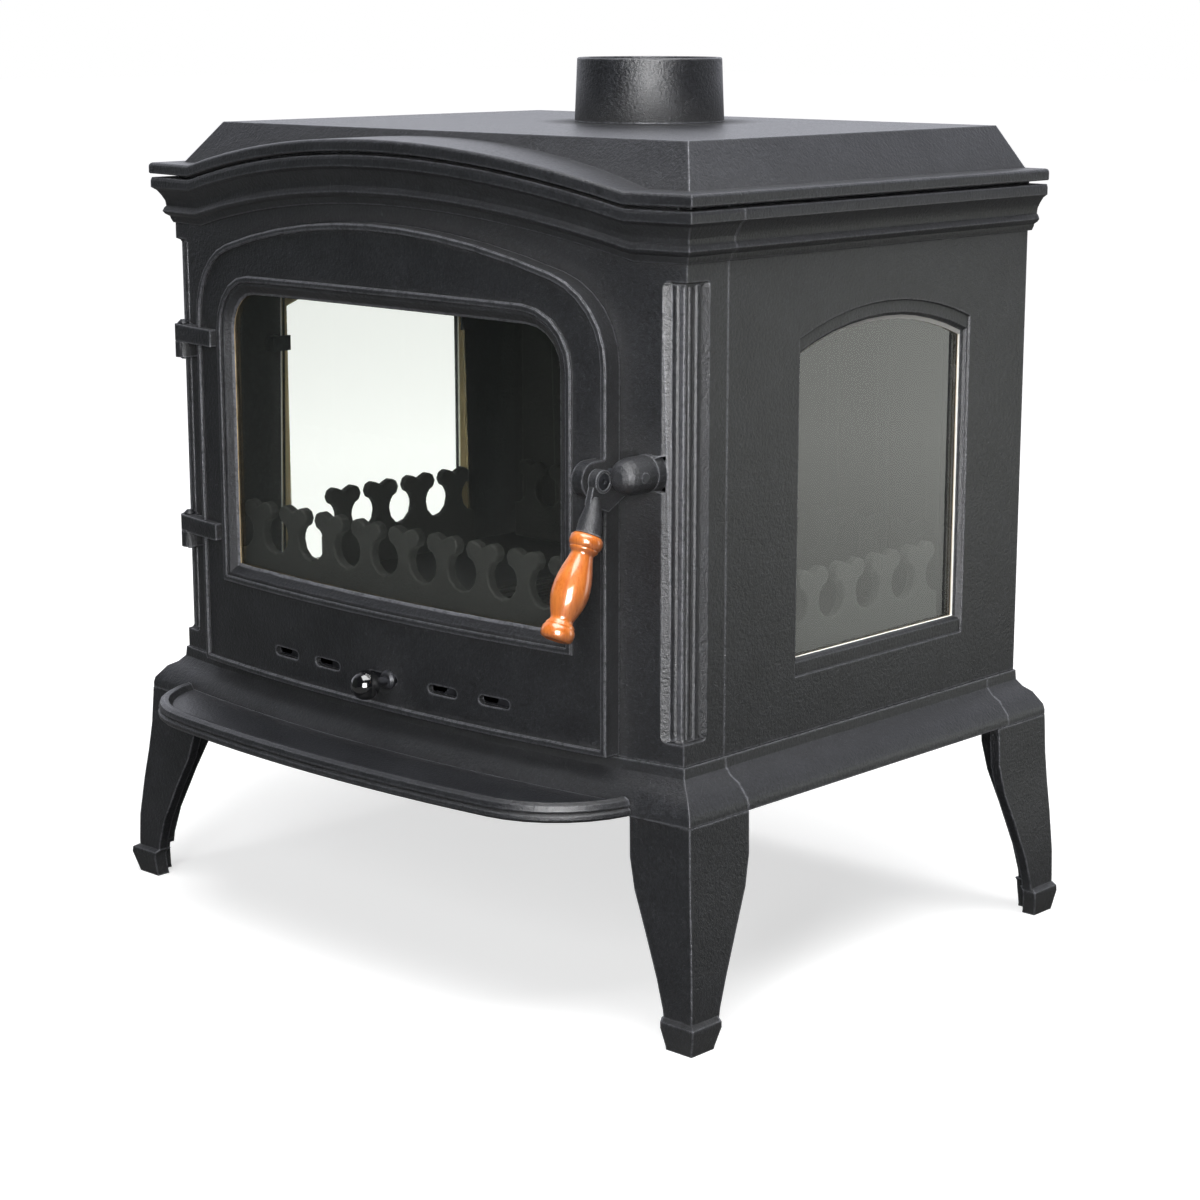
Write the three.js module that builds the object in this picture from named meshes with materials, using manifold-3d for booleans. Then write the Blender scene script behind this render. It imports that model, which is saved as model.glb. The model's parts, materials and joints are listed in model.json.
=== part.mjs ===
// Cast iron wood stove on four legs, with a bowed front door, side windows and an ash shelf.
// Millimetres, +Z up, the door faces -Y. The origin lies on the floor under the middle of the stove.
import * as THREE from 'three';
import * as BufferGeometryUtils from 'three/addons/utils/BufferGeometryUtils.js';
import Module from 'manifold-3d';

const wasm = await Module();
wasm.setup();

// Clearances and overruns
const seatGap = 0.3;
const runningGap = 0.6;
const overrun = 60;

// Body shell
const bodyHalfWidth = 350;
const bodyFront = 247;
const bodyRear = 263;
const bodyBottom = 250;
const wall = 9;
const frontBow = 32;
const bowStep = 50;
const frontShare = 0.86;
const rearShare = 0.5;
const frontReturn = 54.5;
const rearReturn = 49;
const innerHalfWidth = bodyHalfWidth - wall;
const returnY = frontReturn - bodyFront;
const rearReturnY = bodyRear - rearReturn;

// Cornice and the arch over the door
const corniceBottom = 697;
const corniceHeight = 46;
const corniceReach = 18.5;
const corniceRoot = 4;
const archRise = 35.6;
const archInset = 53;
const archHalfWidth = bodyHalfWidth - archInset;
const archSteps = 9;
const corniceOutlineShare = [
  [0.09, 0], [0.19, 0.08], [0.23, 0.14], [0.43, 0.19], [0.54, 0.25], [0.46, 0.33], [0.37, 0.37],
  [0.41, 0.48], [0.55, 0.59], [0.75, 0.71], [1, 0.78], [1, 0.93], [0.94, 1],
];

// Fluted corner niche
const nicheFootMargin = 20;
const nicheHeadMargin = 16;
const nicheBottom = bodyBottom + nicheFootMargin;
const nicheTop = corniceBottom - nicheHeadMargin;
const nicheFace = 31;
const nicheBevel = 2;
const nicheFrontDepth = 6;
const nicheSideDepth = 8;
const nicheEnd = 5;
const nicheCorner = 5;
const nicheEndShare = [[0, 0.02, 1], [0.3, 0.45, 0.3], [1, 1, 0]];
const pilasterWidth = 42;
const pilasterWall = 19;
const fluteOffset = 19;
const fluteRadius = 4.4;
const beadOffset = 2.6;
const beadRadius = 2;
const fluteSides = 12;

// Base moulding
const baseHeight = 44.8;
const baseReach = 30;
const baseFlange = 26;
const baseOutlineShare = [
  [0.07, 1], [0.1, 0.78], [0.31, 0.63], [0.61, 0.52], [0.78, 0.38], [0.95, 0.24], [1, 0.11], [1, 0],
  [0.68, 0], [0.68, 0.14], [0.47, 0.33], [0.27, 0.43], [0, 0.58], [-0.2, 0.82],
];

// Lid
const lidSeat = 3.7;
const lidLipThickness = 11.3;
const lidLipReach = 19.6;
const lidLipRound = 4;
const lidLipRoot = 14;
const lidLipSteps = 4;
const lidRearReach = 5;
const lidRise = 52.1;
const lidTopInset = 34;
const lidTopFrontInset = 39;
const lidTopRearInset = 11;
const lidSideRun = 28;
const lidFrontRun = 30;
const lidRearRun = 12;
const lidWall = 9;
const lidLipBottom = corniceBottom + corniceHeight + lidSeat;
const lidBrimTop = lidLipBottom + lidLipThickness;
const lidTop = lidLipBottom + lidRise;
const lidTopHalfWidth = bodyHalfWidth - lidTopInset;
const lidTopFront = bodyFront - lidTopFrontInset;
const lidTopRear = bodyRear - lidTopRearInset;

// Flue collar
const flueRadius = 76.5;
const flueTopRadius = 74;
const flueBore = 69;
const flueHeight = 64.5;
const flueCentre = 91.6;
const flueSides = 40;

// Legs
const legReach = 46;
const legFaceWidth = 72;
const legSideWidth = 81;
const legWall = 11;
const legFlange = 8;
const footHeight = 30;
const footReach = 52.5;
const footWidth = 39;
const footWall = 15;
const legHeightShare = [0.13, 0.18, 0.31, 0.51, 0.67, 0.81, 1];
const legReachShare = [1, 1, 0.98, 0.88, 0.78, 0.71, 0.66];
const legWidthShare = [0.46, 0.48, 0.58, 0.77, 0.93, 1, 1];
const footHeightShare = [0, 0.12, 0.72, 0.9, 1];
const footReachShare = [0.88, 0.9, 1, 0.99, 0.89];
const footWidthShare = [0.78, 0.8, 1, 1, 0.92];

// Ash shelf
const shelfInset = 32;
const shelfReach = 137;
const shelfHalfWidth = bodyHalfWidth - shelfInset;
const shelfFront = bodyFront + shelfReach;
const shelfBowRadius = 1843;
const shelfCornerRadius = 110;
const shelfRimHeight = 18;
const shelfRimWidth = 15;
const shelfFloor = 12;
const shelfSpans = 12;
const shelfCornerSteps = 8;
const shelfRimShare = [
  [0.2, 0], [0, 0.16], [0, 0.34], [0.14, 0.46], [0.04, 0.6],
  [0.14, 0.86], [0.42, 1], [0.72, 0.96], [0.92, 0.76],
];

// Door
const doorSideMargin = 67;
const doorFootMargin = 3;
const doorHeadMargin = 16.6;
const doorHalfWidth = bodyHalfWidth - doorSideMargin;
const doorBottom = bodyBottom + doorFootMargin;
const doorApex = corniceBottom + archRise - doorHeadMargin;
const doorArchRadius = 800;
const doorCornerRadius = 82;
const doorCornerSteps = 6;
const doorSpans = 10;
const doorBack = 1;
const doorSkinBack = 9.5;
const doorSkinFront = 16.5;
const doorFront = 20;
const doorEdge = 6;
const doorBead = 5;
const edgeStep = 1;
const openingInset = 20;

// Door window
const windowSideMargin = 43;
const windowFootMargin = 94;
const windowHeadMargin = 64;
const windowHalfWidth = doorHalfWidth - windowSideMargin;
const windowBottom = doorBottom + windowFootMargin;
const windowApex = doorApex - windowHeadMargin;
const windowArchRadius = 9000;
const windowCornerRadius = 52;
const windowCornerSteps = 5;
const windowSpans = 8;
const revealWidth = 14;
const windowBead = 5;
const windowBeadHeight = 3;
const glassThickness = 4;
const glassSealThickness = 1.7;
const glassLap = 11;
const outlineStep = 60;

// Glass clips on the door
const doorClipWidth = 22;
const doorClipFoot = 12;
const doorClipLap = 9;
const doorClipPlate = 2.3;
const doorClipX = 150;

// Door seal
const sealWidth = 10;
const sealBack = 0.3;

// Air slots and their slide
const slotRowRise = 31;
const slotRowHeight = doorBottom + slotRowRise;
const slotRowCentre = 7;
const slotInner = 81;
const slotOuter = 146;
const slotLength = 38;
const slotHeight = 9;
const slotArcSteps = 5;
const slideBack = 4.2;
const slideThickness = 3;
const slideHalfWidth = 182;
const slideHeight = 19;
const slideHole = 22;
const slideShift = 14;
const stemX = 17;
const stemRadius = 4;
const stemSlotLength = 41;
const stemSides = 14;
const collarRadius = 9.5;
const collarThickness = 5;
const knobRadius = 14.5;
const knobReach = 31;
const knobSides = 20;
const guideBack = 1;
const guideLip = 1.5;
const guideHeight = 6;
const guideHalfWidth = 70;
const guideLap = 3;

// Hinges
const hingeOut = 35;
const hingeAhead = 13.4;
const hingeRadius = 9;
const hingePinRadius = 4;
const hingeBore = 4.4;
const hingeSides = 18;
const hingeLugHeight = 17;
const hingeLugLows = [580, 382.5];
const strapLength = 33;
const strapFront = 24;
const strapThickness = 9;
const pinHeadRadius = 6;
const pinHeadHeight = 4;
const pinTail = 2;

// Handle and latch
const handleAhead = 33.4;
const handleZ = 507.5;
const bossRadius = 16.5;
const bossLength = 13;
const leverGap = 1.5;
const leverThickness = 10;
const eyeRadius = 10.5;
const eyeCounterbore = 7.6;
const eyeCounterDepth = 3.5;
const screwRadius = 3.5;
const screwBore = 3.9;
const screwHeadRadius = 6.8;
const screwHeadHeight = 2.8;
const screwSocket = 3;
const screwSocketDepth = 1.6;
const screwSocketSides = 6;
const handleSides = 20;
const neckAhead = 8;
const neckDrop = 19.5;
const gripAhead = 15;
const gripDrop = 45.7;
const gripLength = 97;
const gripTilt = THREE.MathUtils.degToRad(25.6);
const neckTopRadius = 6.5;
const neckEndRadius = 11.8;
const neckSwell = 1.5;
const neckSink = 3;
const neckEndShare = 0.9;
const gripRadius = 17;
const gripBore = 6;
const gripTang = 5.6;
const gripTangLength = 60;
const gripSides = 18;
const gripOutlineShare = [
  [0.5, 0], [0.74, 0.01], [0.84, 0.035], [0.87, 0.07], [0.84, 0.105], [0.72, 0.135], [0.63, 0.16],
  [0.64, 0.19], [0.78, 0.3], [0.94, 0.42], [1, 0.52], [0.97, 0.62], [0.86, 0.72], [0.74, 0.79],
  [0.67, 0.835], [0.68, 0.86], [0.8, 0.88], [0.87, 0.91], [0.87, 0.945], [0.81, 0.98], [0.68, 1],
];
const latchSlack = 1.5;
const hookThickness = 10;
const hookTipRise = 8;
const hookTipBevel = 3;
const hookHeelDrop = 16;
const hookToeBack = 9.6;
const hookToeDrop = 28.4;
const webShare = 0.8;
const keeperOut = 28;
const keeperRise = 4.8;
const keeperRadius = 17;
const keeperLength = 35;
const keeperFlange = 18.5;
const keeperFlangeThickness = 3;
const keeperPadHeight = 3.7;
const keeperOutlineShare = [[1, 0.52], [0.97, 0.66], [0.86, 0.8], [0.66, 0.91], [0.36, 0.98], [0, 1]];
const latchPinRadius = 4;
const latchPinAhead = 20.7;
const latchPinRise = 5.1;
const latchPinSeat = 11;

// Side windows: an arched opening in a shallow recess that is taller than it
const rightWindowCentre = 39;
const leftWindowCentre = 16;
const sideWindowHalfWidth = 127;
const sideWindowBottom = 321;
const sideWindowApex = 630;
const sideWindowArchRadius = 343;
const sideWindowSpans = 10;
const sideWindowBevel = 3;
const recessDepth = 2.2;
const recessSide = 4;
const recessHead = 15;
const recessFoot = 16;
const recessBevel = 1.2;
const sideGlassLap = 12;
const sideSealThickness = 2.7;
const sideClipHeight = 16;
const sideClipFoot = 12;
const sideClipPlate = 2.5;
const sideClipZ = 563;

// Firebox inside
const ledgeWidth = 18;
const ledgeHeight = 8;
const hearthThickness = 8;
const bedBottom = 298;
const bedThickness = 10;
const grateHalfWidth = 140;
const grateHalfDepth = 110;
const grateRebate = 10;
const grateSeat = 4;
const grateSlotWidth = 9;
const grateSlotCount = 13;
const grateSlotMargin = 14;
const grateThickness = 8;
const panHalfWidth = 150;
const panSetBack = 19;
const panLength = 378;
const panHeight = 32;
const panWall = 2;
const pullHalfWidth = 44;
const pullDrop = 13;
const pullReach = 10;
const linerThickness = 9;
const linerTop = 640;
const linerSideGap = 13;
const linerHalfWidth = innerHalfWidth - linerSideGap;
const linerRibCount = 9;
const linerRibWidth = 16;
const linerRibDepth = 3;
const spacerShare = 0.8;
const baffleBottom = 672.3;
const baffleThickness = 8;
const baffleFront = 130;

// Log guards
const guardThickness = 11;
const guardHole = 38;
const guardHoleDrop = 52;
const guardLobe = 10;
const guardGap = 10;
const guardNotch = 6;
const guardLobeSteps = 4;
const guardHoleSteps = 6;
const frontGuardTop = 418;
const frontGuardPostCount = 10;
const frontGuardSide = 68;
const frontGuardSetBack = 25;
const sideGuardTop = 400;
const sideGuardPostCount = 4;
const sideGuardHalfLength = 112;
const sideGuardCentre = 38;
const sideGuardGap = 1.7;
const rearGuardPostCount = 12;
const rearGuardSide = 17;
const rearGuardGap = 4;

// Materials
const castIron = new THREE.MeshStandardMaterial({ color: 0x2c2d2f, roughness: 0.62, metalness: 0.55 });
const blackSteel = new THREE.MeshStandardMaterial({ color: 0x1d1e20, roughness: 0.45, metalness: 0.7 });
const sheetSteel = new THREE.MeshStandardMaterial({ color: 0x55585b, roughness: 0.5, metalness: 0.8 });
const clearGlass = new THREE.MeshStandardMaterial({
  color: 0xdfe6e2, roughness: 0.05, metalness: 0, transparent: true, opacity: 0.3,
});
const ceramicRope = new THREE.MeshStandardMaterial({ color: 0xb49c7a, roughness: 0.95, metalness: 0 });
const blackBall = new THREE.MeshStandardMaterial({ color: 0x060607, roughness: 0.12, metalness: 0 });
const varnishedWood = new THREE.MeshStandardMaterial({ color: 0xb8531c, roughness: 0.3, metalness: 0 });

// Solids and cuts
function signedVolume(position, index) {
  const [a, b, c] = [new THREE.Vector3(), new THREE.Vector3(), new THREE.Vector3()];
  let sum = 0;
  for (let i = 0; i < index.length; i += 3) {
    a.fromArray(position, 3 * index[i]);
    b.fromArray(position, 3 * index[i + 1]);
    c.fromArray(position, 3 * index[i + 2]);
    sum += a.dot(b.cross(c));
  }
  return sum;
}

function solidOf(geometry) {
  const plain = geometry.clone();
  plain.deleteAttribute('normal');
  plain.deleteAttribute('uv');
  const merged = BufferGeometryUtils.mergeVertices(plain);
  const index = [];
  for (let i = 0; i < merged.index.count; i += 3) {
    const corners = [merged.index.getX(i), merged.index.getX(i + 1), merged.index.getX(i + 2)];
    if (new Set(corners).size === 3) {
      index.push(...corners);
    }
  }
  const vertProperties = Float32Array.from(merged.attributes.position.array);
  if (signedVolume(vertProperties, index) < 0) {
    index.reverse();
  }
  const triVerts = Uint32Array.from(index);
  return new wasm.Manifold(new wasm.Mesh({ numProp: 3, vertProperties, triVerts }));
}

function join(...solids) {
  return solids.reduce((whole, piece) => whole.add(piece));
}

function shapeOf(points) {
  return new THREE.Shape(points.map(([across, along]) => new THREE.Vector2(across, along)));
}

function extruded(points, depth) {
  return new THREE.ExtrudeGeometry(shapeOf(points), { depth, bevelEnabled: false, steps: 1 });
}

function planPrism(points, low, high) {
  return solidOf(extruded(points, high - low).translate(0, 0, low));
}

function frontPrism(points, front, back) {
  return solidOf(extruded(points, back - front).rotateX(Math.PI / 2).translate(0, back, 0));
}

const sideAxes = new THREE.Matrix4().makeBasis(
  new THREE.Vector3(0, 1, 0),
  new THREE.Vector3(0, 0, 1),
  new THREE.Vector3(1, 0, 0),
);

function sidePrism(points, left, right) {
  return solidOf(extruded(points, right - left).applyMatrix4(sideAxes).translate(left, 0, 0));
}

function rectangle(left, right, low, high) {
  return [[left, low], [right, low], [right, high], [left, high]];
}

function box(left, right, front, back, low, high) {
  return planPrism(rectangle(left, right, front, back), low, high);
}

function turned(profile, sides) {
  const points = profile.map(([radius, height]) => new THREE.Vector2(radius, height));
  return new THREE.LatheGeometry(points, sides).rotateX(Math.PI / 2);
}

function rod(radius, low, high, sides) {
  return turned([[0, low], [radius, low], [radius, high], [0, high]], sides);
}

function rodAlongX(radius, left, right, y, z, sides) {
  return solidOf(rod(radius, left, right, sides).rotateY(Math.PI / 2).translate(0, y, z));
}

function rodAlongZ(radius, low, high, x, y, sides) {
  return solidOf(rod(radius, low, high, sides).translate(x, y, 0));
}

function flatten(ring) {
  const normal = new THREE.Vector3();
  ring.forEach((point, i) => {
    const next = ring[(i + 1) % ring.length];
    normal.x += (point[1] - next[1]) * (point[2] + next[2]);
    normal.y += (point[2] - next[2]) * (point[0] + next[0]);
    normal.z += (point[0] - next[0]) * (point[1] + next[1]);
  });
  const sizes = normal.toArray().map(Math.abs);
  const dropped = sizes.indexOf(Math.max(...sizes));
  const [first, second] = [0, 1, 2].filter((axis) => axis !== dropped);
  return ring.map((point) => new THREE.Vector2(point[first], point[second]));
}

function capTriangles(ring) {
  const flat = flatten(ring);
  const turn = Math.sign(THREE.ShapeUtils.area(flat));
  return THREE.ShapeUtils.triangulateShape(flat, []).map(([a, b, c]) => {
    const sameTurn = Math.sign(THREE.ShapeUtils.area([flat[a], flat[b], flat[c]])) === turn;
    return sameTurn ? [a, b, c] : [a, c, b];
  });
}

// A skin over rings that all have the same number of points, closed at its first and last ring
function loft(rings) {
  const count = rings[0].length;
  const index = [];
  for (let i = 0; i + 1 < rings.length; i += 1) {
    for (let j = 0; j < count; j += 1) {
      const next = (j + 1) % count;
      const [low, lowNext] = [i * count + j, i * count + next];
      const [high, highNext] = [low + count, lowNext + count];
      index.push(low, lowNext, highNext, low, highNext, high);
    }
  }
  const last = (rings.length - 1) * count;
  capTriangles(rings[0]).forEach(([a, b, c]) => index.push(a, c, b));
  capTriangles(rings.at(-1)).forEach(([a, b, c]) => index.push(last + a, last + b, last + c));
  const geometry = new THREE.BufferGeometry();
  geometry.setAttribute('position', new THREE.Float32BufferAttribute(rings.flat(2), 3));
  geometry.setIndex(index);
  return solidOf(geometry);
}

// Outlines
function arc(across, along, radius, start, end, steps) {
  return Array.from({ length: steps + 1 }, (_, i) => {
    const angle = start + ((end - start) * i) / steps;
    return [across + radius * Math.cos(angle), along + radius * Math.sin(angle)];
  });
}

// Straight sides under a shallow arch, with corners that run into it smoothly or stay sharp
function archedOutline(shape, inset = 0) {
  const { halfWidth, bottom, apex, archRadius, cornerRadius, cornerSteps, archSpans } = shape;
  const half = halfWidth - inset;
  const radius = archRadius - inset;
  const corner = Math.max(cornerRadius - inset, 0);
  const archCentre = apex - archRadius;
  const cornerX = half - corner;
  const cornerZ = archCentre + Math.sqrt((radius - corner) ** 2 - cornerX ** 2);
  const meet = Math.atan2(cornerZ - archCentre, cornerX);
  const right = corner > 0 ? arc(cornerX, cornerZ, corner, 0, meet, cornerSteps).slice(0, -1) : [];
  const top = arc(0, archCentre, radius, meet, Math.PI - meet, archSpans);
  const left = right.map(([x, z]) => [-x, z]).reverse();
  return [[-half, bottom + inset], [half, bottom + inset], ...right, ...top, ...left];
}

function spansAlong(points, step) {
  return points.map((point, i) => {
    const next = points[(i + 1) % points.length];
    return Math.max(1, Math.ceil(Math.hypot(next[0] - point[0], next[1] - point[1]) / step));
  });
}

function refined(points, spans) {
  return points.flatMap((point, i) => {
    const next = points[(i + 1) % points.length];
    return Array.from({ length: spans[i] }, (_, j) => [
      point[0] + ((next[0] - point[0]) * j) / spans[i],
      point[1] + ((next[1] - point[1]) * j) / spans[i],
    ]);
  });
}

function moved(points, across, along) {
  return points.map(([a, b]) => [a + across, b + along]);
}

function slotOutline(centre, height, length, width) {
  const radius = width / 2;
  const reach = length / 2 - radius;
  return [
    ...arc(centre + reach, height, radius, -Math.PI / 2, Math.PI / 2, slotArcSteps),
    ...arc(centre - reach, height, radius, Math.PI / 2, (3 * Math.PI) / 2, slotArcSteps),
  ];
}

// The bowed front: concentric faces, each a given distance ahead of the front plate's own face
const bowRadius = (bodyHalfWidth ** 2 + frontBow ** 2) / (2 * frontBow);
const bowCentre = bowRadius - bodyFront - frontBow;

function bowY(x, ahead) {
  return bowCentre - Math.sqrt((bowRadius + ahead) ** 2 - x ** 2);
}

function bowLine(halfWidth, ahead) {
  const right = [];
  for (let x = bowStep; x < halfWidth; x += bowStep) {
    right.push(x);
  }
  right.push(halfWidth);
  const left = right.map((x) => -x).reverse();
  return [...left, 0, ...right].map((x) => [x, bowY(x, ahead)]);
}

function bowedSlab(back, front, halfWidth, low, high) {
  return planPrism([...bowLine(halfWidth, front), ...bowLine(halfWidth, back).reverse()], low, high);
}

// A sheet of the bowed front with the given outline as seen from the front
function bowedPanel(outline, back, front) {
  const across = Math.max(...outline.map(([x]) => Math.abs(x)));
  const heights = outline.map(([, z]) => z);
  const low = Math.min(...heights) - overrun;
  const high = Math.max(...heights) + overrun;
  const slab = bowedSlab(back, front, across + overrun, low, high);
  return slab.intersect(frontPrism(outline, bowY(0, front) - overrun, bowY(across, back) + overrun));
}

function bowedRing(outer, inner, back, front) {
  const hole = frontPrism(inner, bowY(0, front) - 2 * overrun, 2 * overrun);
  return bowedPanel(outer, back, front).subtract(hole);
}

function archLift(x) {
  return Math.abs(x) < archHalfWidth ? archRise * (1 - (x / archHalfWidth) ** 2) : 0;
}

function archStations(halfWidth) {
  const span = archHalfWidth / archSteps;
  const stations = Array.from({ length: 2 * archSteps + 1 }, (_, i) => (i - archSteps) * span);
  return [-halfWidth, ...stations, halfWidth];
}

// Mouldings follow stations, each with its own outward direction and lift
function moulding(stations, profile) {
  return loft(stations.map(({ x, y, outX, outY, lift }) =>
    profile.map(([reach, z]) => [x + outX * reach, y + outY * reach, z + lift])));
}

function frontStations(returnEnd, lifted) {
  const along = archStations(bodyHalfWidth).slice(1, -1).map((x) => ({
    x, y: bowY(x, 0), outX: 0, outY: -frontShare, lift: lifted ? archLift(x) : 0,
  }));
  const corner = (side) => ({
    x: side * bodyHalfWidth, y: -bodyFront, outX: side, outY: -frontShare, lift: 0,
  });
  const end = (side) => ({ x: side * bodyHalfWidth, y: returnEnd, outX: side, outY: 0, lift: 0 });
  return [end(-1), corner(-1), ...along, corner(1), end(1)];
}

function sideStations(side, front, back) {
  return [front, back].map((y) => ({ x: side * bodyHalfWidth, y, outX: side, outY: 0, lift: 0 }));
}

function rearStations() {
  const corner = (side) => ({ x: side * bodyHalfWidth, y: bodyRear, outX: side, outY: rearShare, lift: 0 });
  const end = (side) => ({
    x: side * bodyHalfWidth, y: rearReturnY + seatGap / 2, outX: side, outY: 0, lift: 0,
  });
  return [end(-1), corner(-1), corner(1), end(1)];
}

// Pieces
const stove = new THREE.Group();

function addPiece(name, solid, material) {
  const { vertProperties, triVerts } = solid.getMesh();
  const geometry = new THREE.BufferGeometry();
  geometry.setAttribute('position', new THREE.BufferAttribute(new Float32Array(vertProperties), 3));
  geometry.setIndex(new THREE.BufferAttribute(new Uint32Array(triVerts), 1));
  geometry.computeVertexNormals();
  const piece = new THREE.Mesh(geometry, material);
  piece.name = name;
  stove.add(piece);
}

const sides = [['left', -1], ['right', 1]];
const corniceTop = corniceBottom + corniceHeight;
const plateTop = lidLipBottom - seatGap;
const bodyFoot = bodyBottom + seatGap;

const corniceProfile = [
  ...corniceOutlineShare.map(([out, up]) => [out * corniceReach, corniceBottom + up * corniceHeight]),
  [-corniceRoot, corniceTop],
  [-corniceRoot, corniceBottom],
];

const doorOutline = {
  halfWidth: doorHalfWidth,
  bottom: doorBottom,
  apex: doorApex,
  archRadius: doorArchRadius,
  cornerRadius: doorCornerRadius,
  cornerSteps: doorCornerSteps,
  archSpans: doorSpans,
};

const windowOutline = {
  halfWidth: windowHalfWidth,
  bottom: windowBottom,
  apex: windowApex,
  archRadius: windowArchRadius,
  cornerRadius: windowCornerRadius,
  cornerSteps: windowCornerSteps,
  archSpans: windowSpans,
};

const sideWindowOutline = {
  halfWidth: sideWindowHalfWidth,
  bottom: sideWindowBottom,
  apex: sideWindowApex,
  archRadius: sideWindowArchRadius,
  cornerRadius: 0,
  cornerSteps: 0,
  archSpans: sideWindowSpans,
};

const recessOutline = {
  ...sideWindowOutline,
  halfWidth: sideWindowHalfWidth + recessSide,
  bottom: sideWindowBottom - recessFoot,
  apex: sideWindowApex + recessHead,
  archRadius: sideWindowArchRadius + recessHead,
};

// Front plate with its corner pilasters, cornice, door opening and hinge knuckles
function nicheRing(side, z, depthShare, cornerShare) {
  const frontDepth = nicheFrontDepth * depthShare;
  const sideDepth = nicheSideDepth * depthShare;
  const bevel = nicheBevel * depthShare;
  const face = nicheFace - nicheCorner * cornerShare;
  const frontEdge = bodyHalfWidth - face;
  const rearEdge = face - bodyFront;
  const outside = bodyHalfWidth + overrun;
  return [
    [frontEdge, -bodyFront - overrun],
    [frontEdge, bowY(frontEdge, 0)],
    [frontEdge + bevel, frontDepth - bodyFront],
    [bodyHalfWidth - sideDepth, frontDepth - bodyFront],
    [bodyHalfWidth - sideDepth, rearEdge - bevel],
    [bodyHalfWidth, rearEdge],
    [outside, rearEdge],
    [outside, -bodyFront - overrun],
  ].map(([x, y]) => [side * x, y, z]);
}

function nicheCut(side) {
  const endRings = (end, inward) => nicheEndShare.map(([along, depth, corner]) =>
    nicheRing(side, end + inward * along * nicheEnd, depth, corner));
  return loft([...endRings(nicheBottom, 1), ...endRings(nicheTop, -1).reverse()]);
}

function nicheFlutes(side) {
  const floorX = bodyHalfWidth - nicheSideDepth;
  const floorY = nicheFrontDepth - bodyFront;
  const flute = (radius, x, y) =>
    rodAlongZ(radius, nicheBottom + nicheEnd / 2, nicheTop - nicheEnd / 2, side * x, y, fluteSides);
  return join(
    flute(fluteRadius, bodyHalfWidth - fluteOffset, floorY),
    flute(fluteRadius, floorX, fluteOffset - bodyFront),
    flute(beadRadius, floorX - beadOffset, floorY),
    flute(beadRadius, floorX, floorY + beadOffset),
  );
}

const hingeX = -doorHalfWidth - hingeOut;
const hingeY = bowY(hingeX, 0) - hingeAhead;
const handleY = bowY(doorHalfWidth, 0) - handleAhead;
const keeperX = doorHalfWidth + keeperOut;
const keeperZ = handleZ + keeperRise;
const keeperPadY = bowY(keeperX, 0) - keeperPadHeight;
const latchPinY = bowY(keeperX, 0) - latchPinAhead;
const latchPinZ = handleZ + latchPinRise;
const latchPinEnd = keeperX + latchPinSeat;

function hingeKnuckle(low) {
  const height = hingeLugHeight - runningGap;
  const bottom = low - hingeLugHeight;
  const root = bowY(hingeX, 0) + wall / 2;
  return join(
    rodAlongZ(hingeRadius, bottom, bottom + height, hingeX, hingeY, hingeSides),
    box(hingeX - hingeRadius, hingeX + hingeRadius, hingeY, root, bottom, bottom + height),
  );
}

function hingeHole(low) {
  const reach = 2 * hingeLugHeight;
  return rodAlongZ(hingeBore, low - reach, low + reach, hingeX, hingeY, hingeSides);
}

function buildFrontPlate() {
  const top = archStations(bodyHalfWidth).map((x) => [x, corniceTop + archLift(x)]).reverse();
  const face = bowedPanel([[-bodyHalfWidth, bodyFoot], [bodyHalfWidth, bodyFoot], ...top], -wall, 0);
  const crown = bowedPanel(
    [...archStations(innerHalfWidth).map((x) => [x, corniceBottom + archLift(x)]),
      ...archStations(innerHalfWidth).map((x) => [x, plateTop + archLift(x)]).reverse()],
    -wall,
    0,
  );
  let plate = join(face, crown, moulding(frontStations(returnY, true), corniceProfile));
  const frontOfReturn = wall / 2 - bodyFront;
  sides.forEach(([, side]) => {
    const spread = (a, b) => [side * a, side * b].sort((one, other) => one - other);
    const [left, right] = spread(innerHalfWidth, bodyHalfWidth);
    const [postLeft, postRight] = spread(bodyHalfWidth - pilasterWall, bodyHalfWidth);
    const postRear = pilasterWidth - bodyFront;
    const block = planPrism([
      [side * bodyHalfWidth, -bodyFront],
      [side * (bodyHalfWidth - pilasterWidth), bowY(bodyHalfWidth - pilasterWidth, 0) + seatGap],
      [side * (bodyHalfWidth - pilasterWidth), pilasterWall - wall - bodyFront],
      [side * (bodyHalfWidth - pilasterWall), pilasterWall - bodyFront],
    ], bodyFoot, corniceBottom);
    plate = join(
      plate,
      box(left, right, frontOfReturn, returnY, bodyFoot, plateTop),
      box(postLeft, postRight, frontOfReturn, postRear, bodyFoot, corniceBottom),
      block,
    );
    plate = plate.subtract(nicheCut(side)).add(nicheFlutes(side));
  });
  const opening = frontPrism(archedOutline(doorOutline, openingInset), -bodyFront - 2 * overrun, 0);
  plate = plate.subtract(opening);
  hingeLugLows.forEach((low) => {
    plate = plate.add(hingeKnuckle(low)).subtract(hingeHole(low));
  });
  const pad = solidOf(rod(keeperFlange, keeperPadY, -bodyFront, handleSides)
    .rotateX(-Math.PI / 2)
    .translate(keeperX, 0, keeperZ));
  return plate.add(pad);
}

// Side plates with their arched windows
function sideOutline(side, outline, inset) {
  return moved(archedOutline(outline, inset), side > 0 ? rightWindowCentre : leftWindowCentre, 0);
}

function sideWindowPrism(side, inset, inner, outer) {
  const [left, right] = side > 0 ? [inner, outer] : [-outer, -inner];
  return sidePrism(sideOutline(side, sideWindowOutline, inset), left, right);
}

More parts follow.
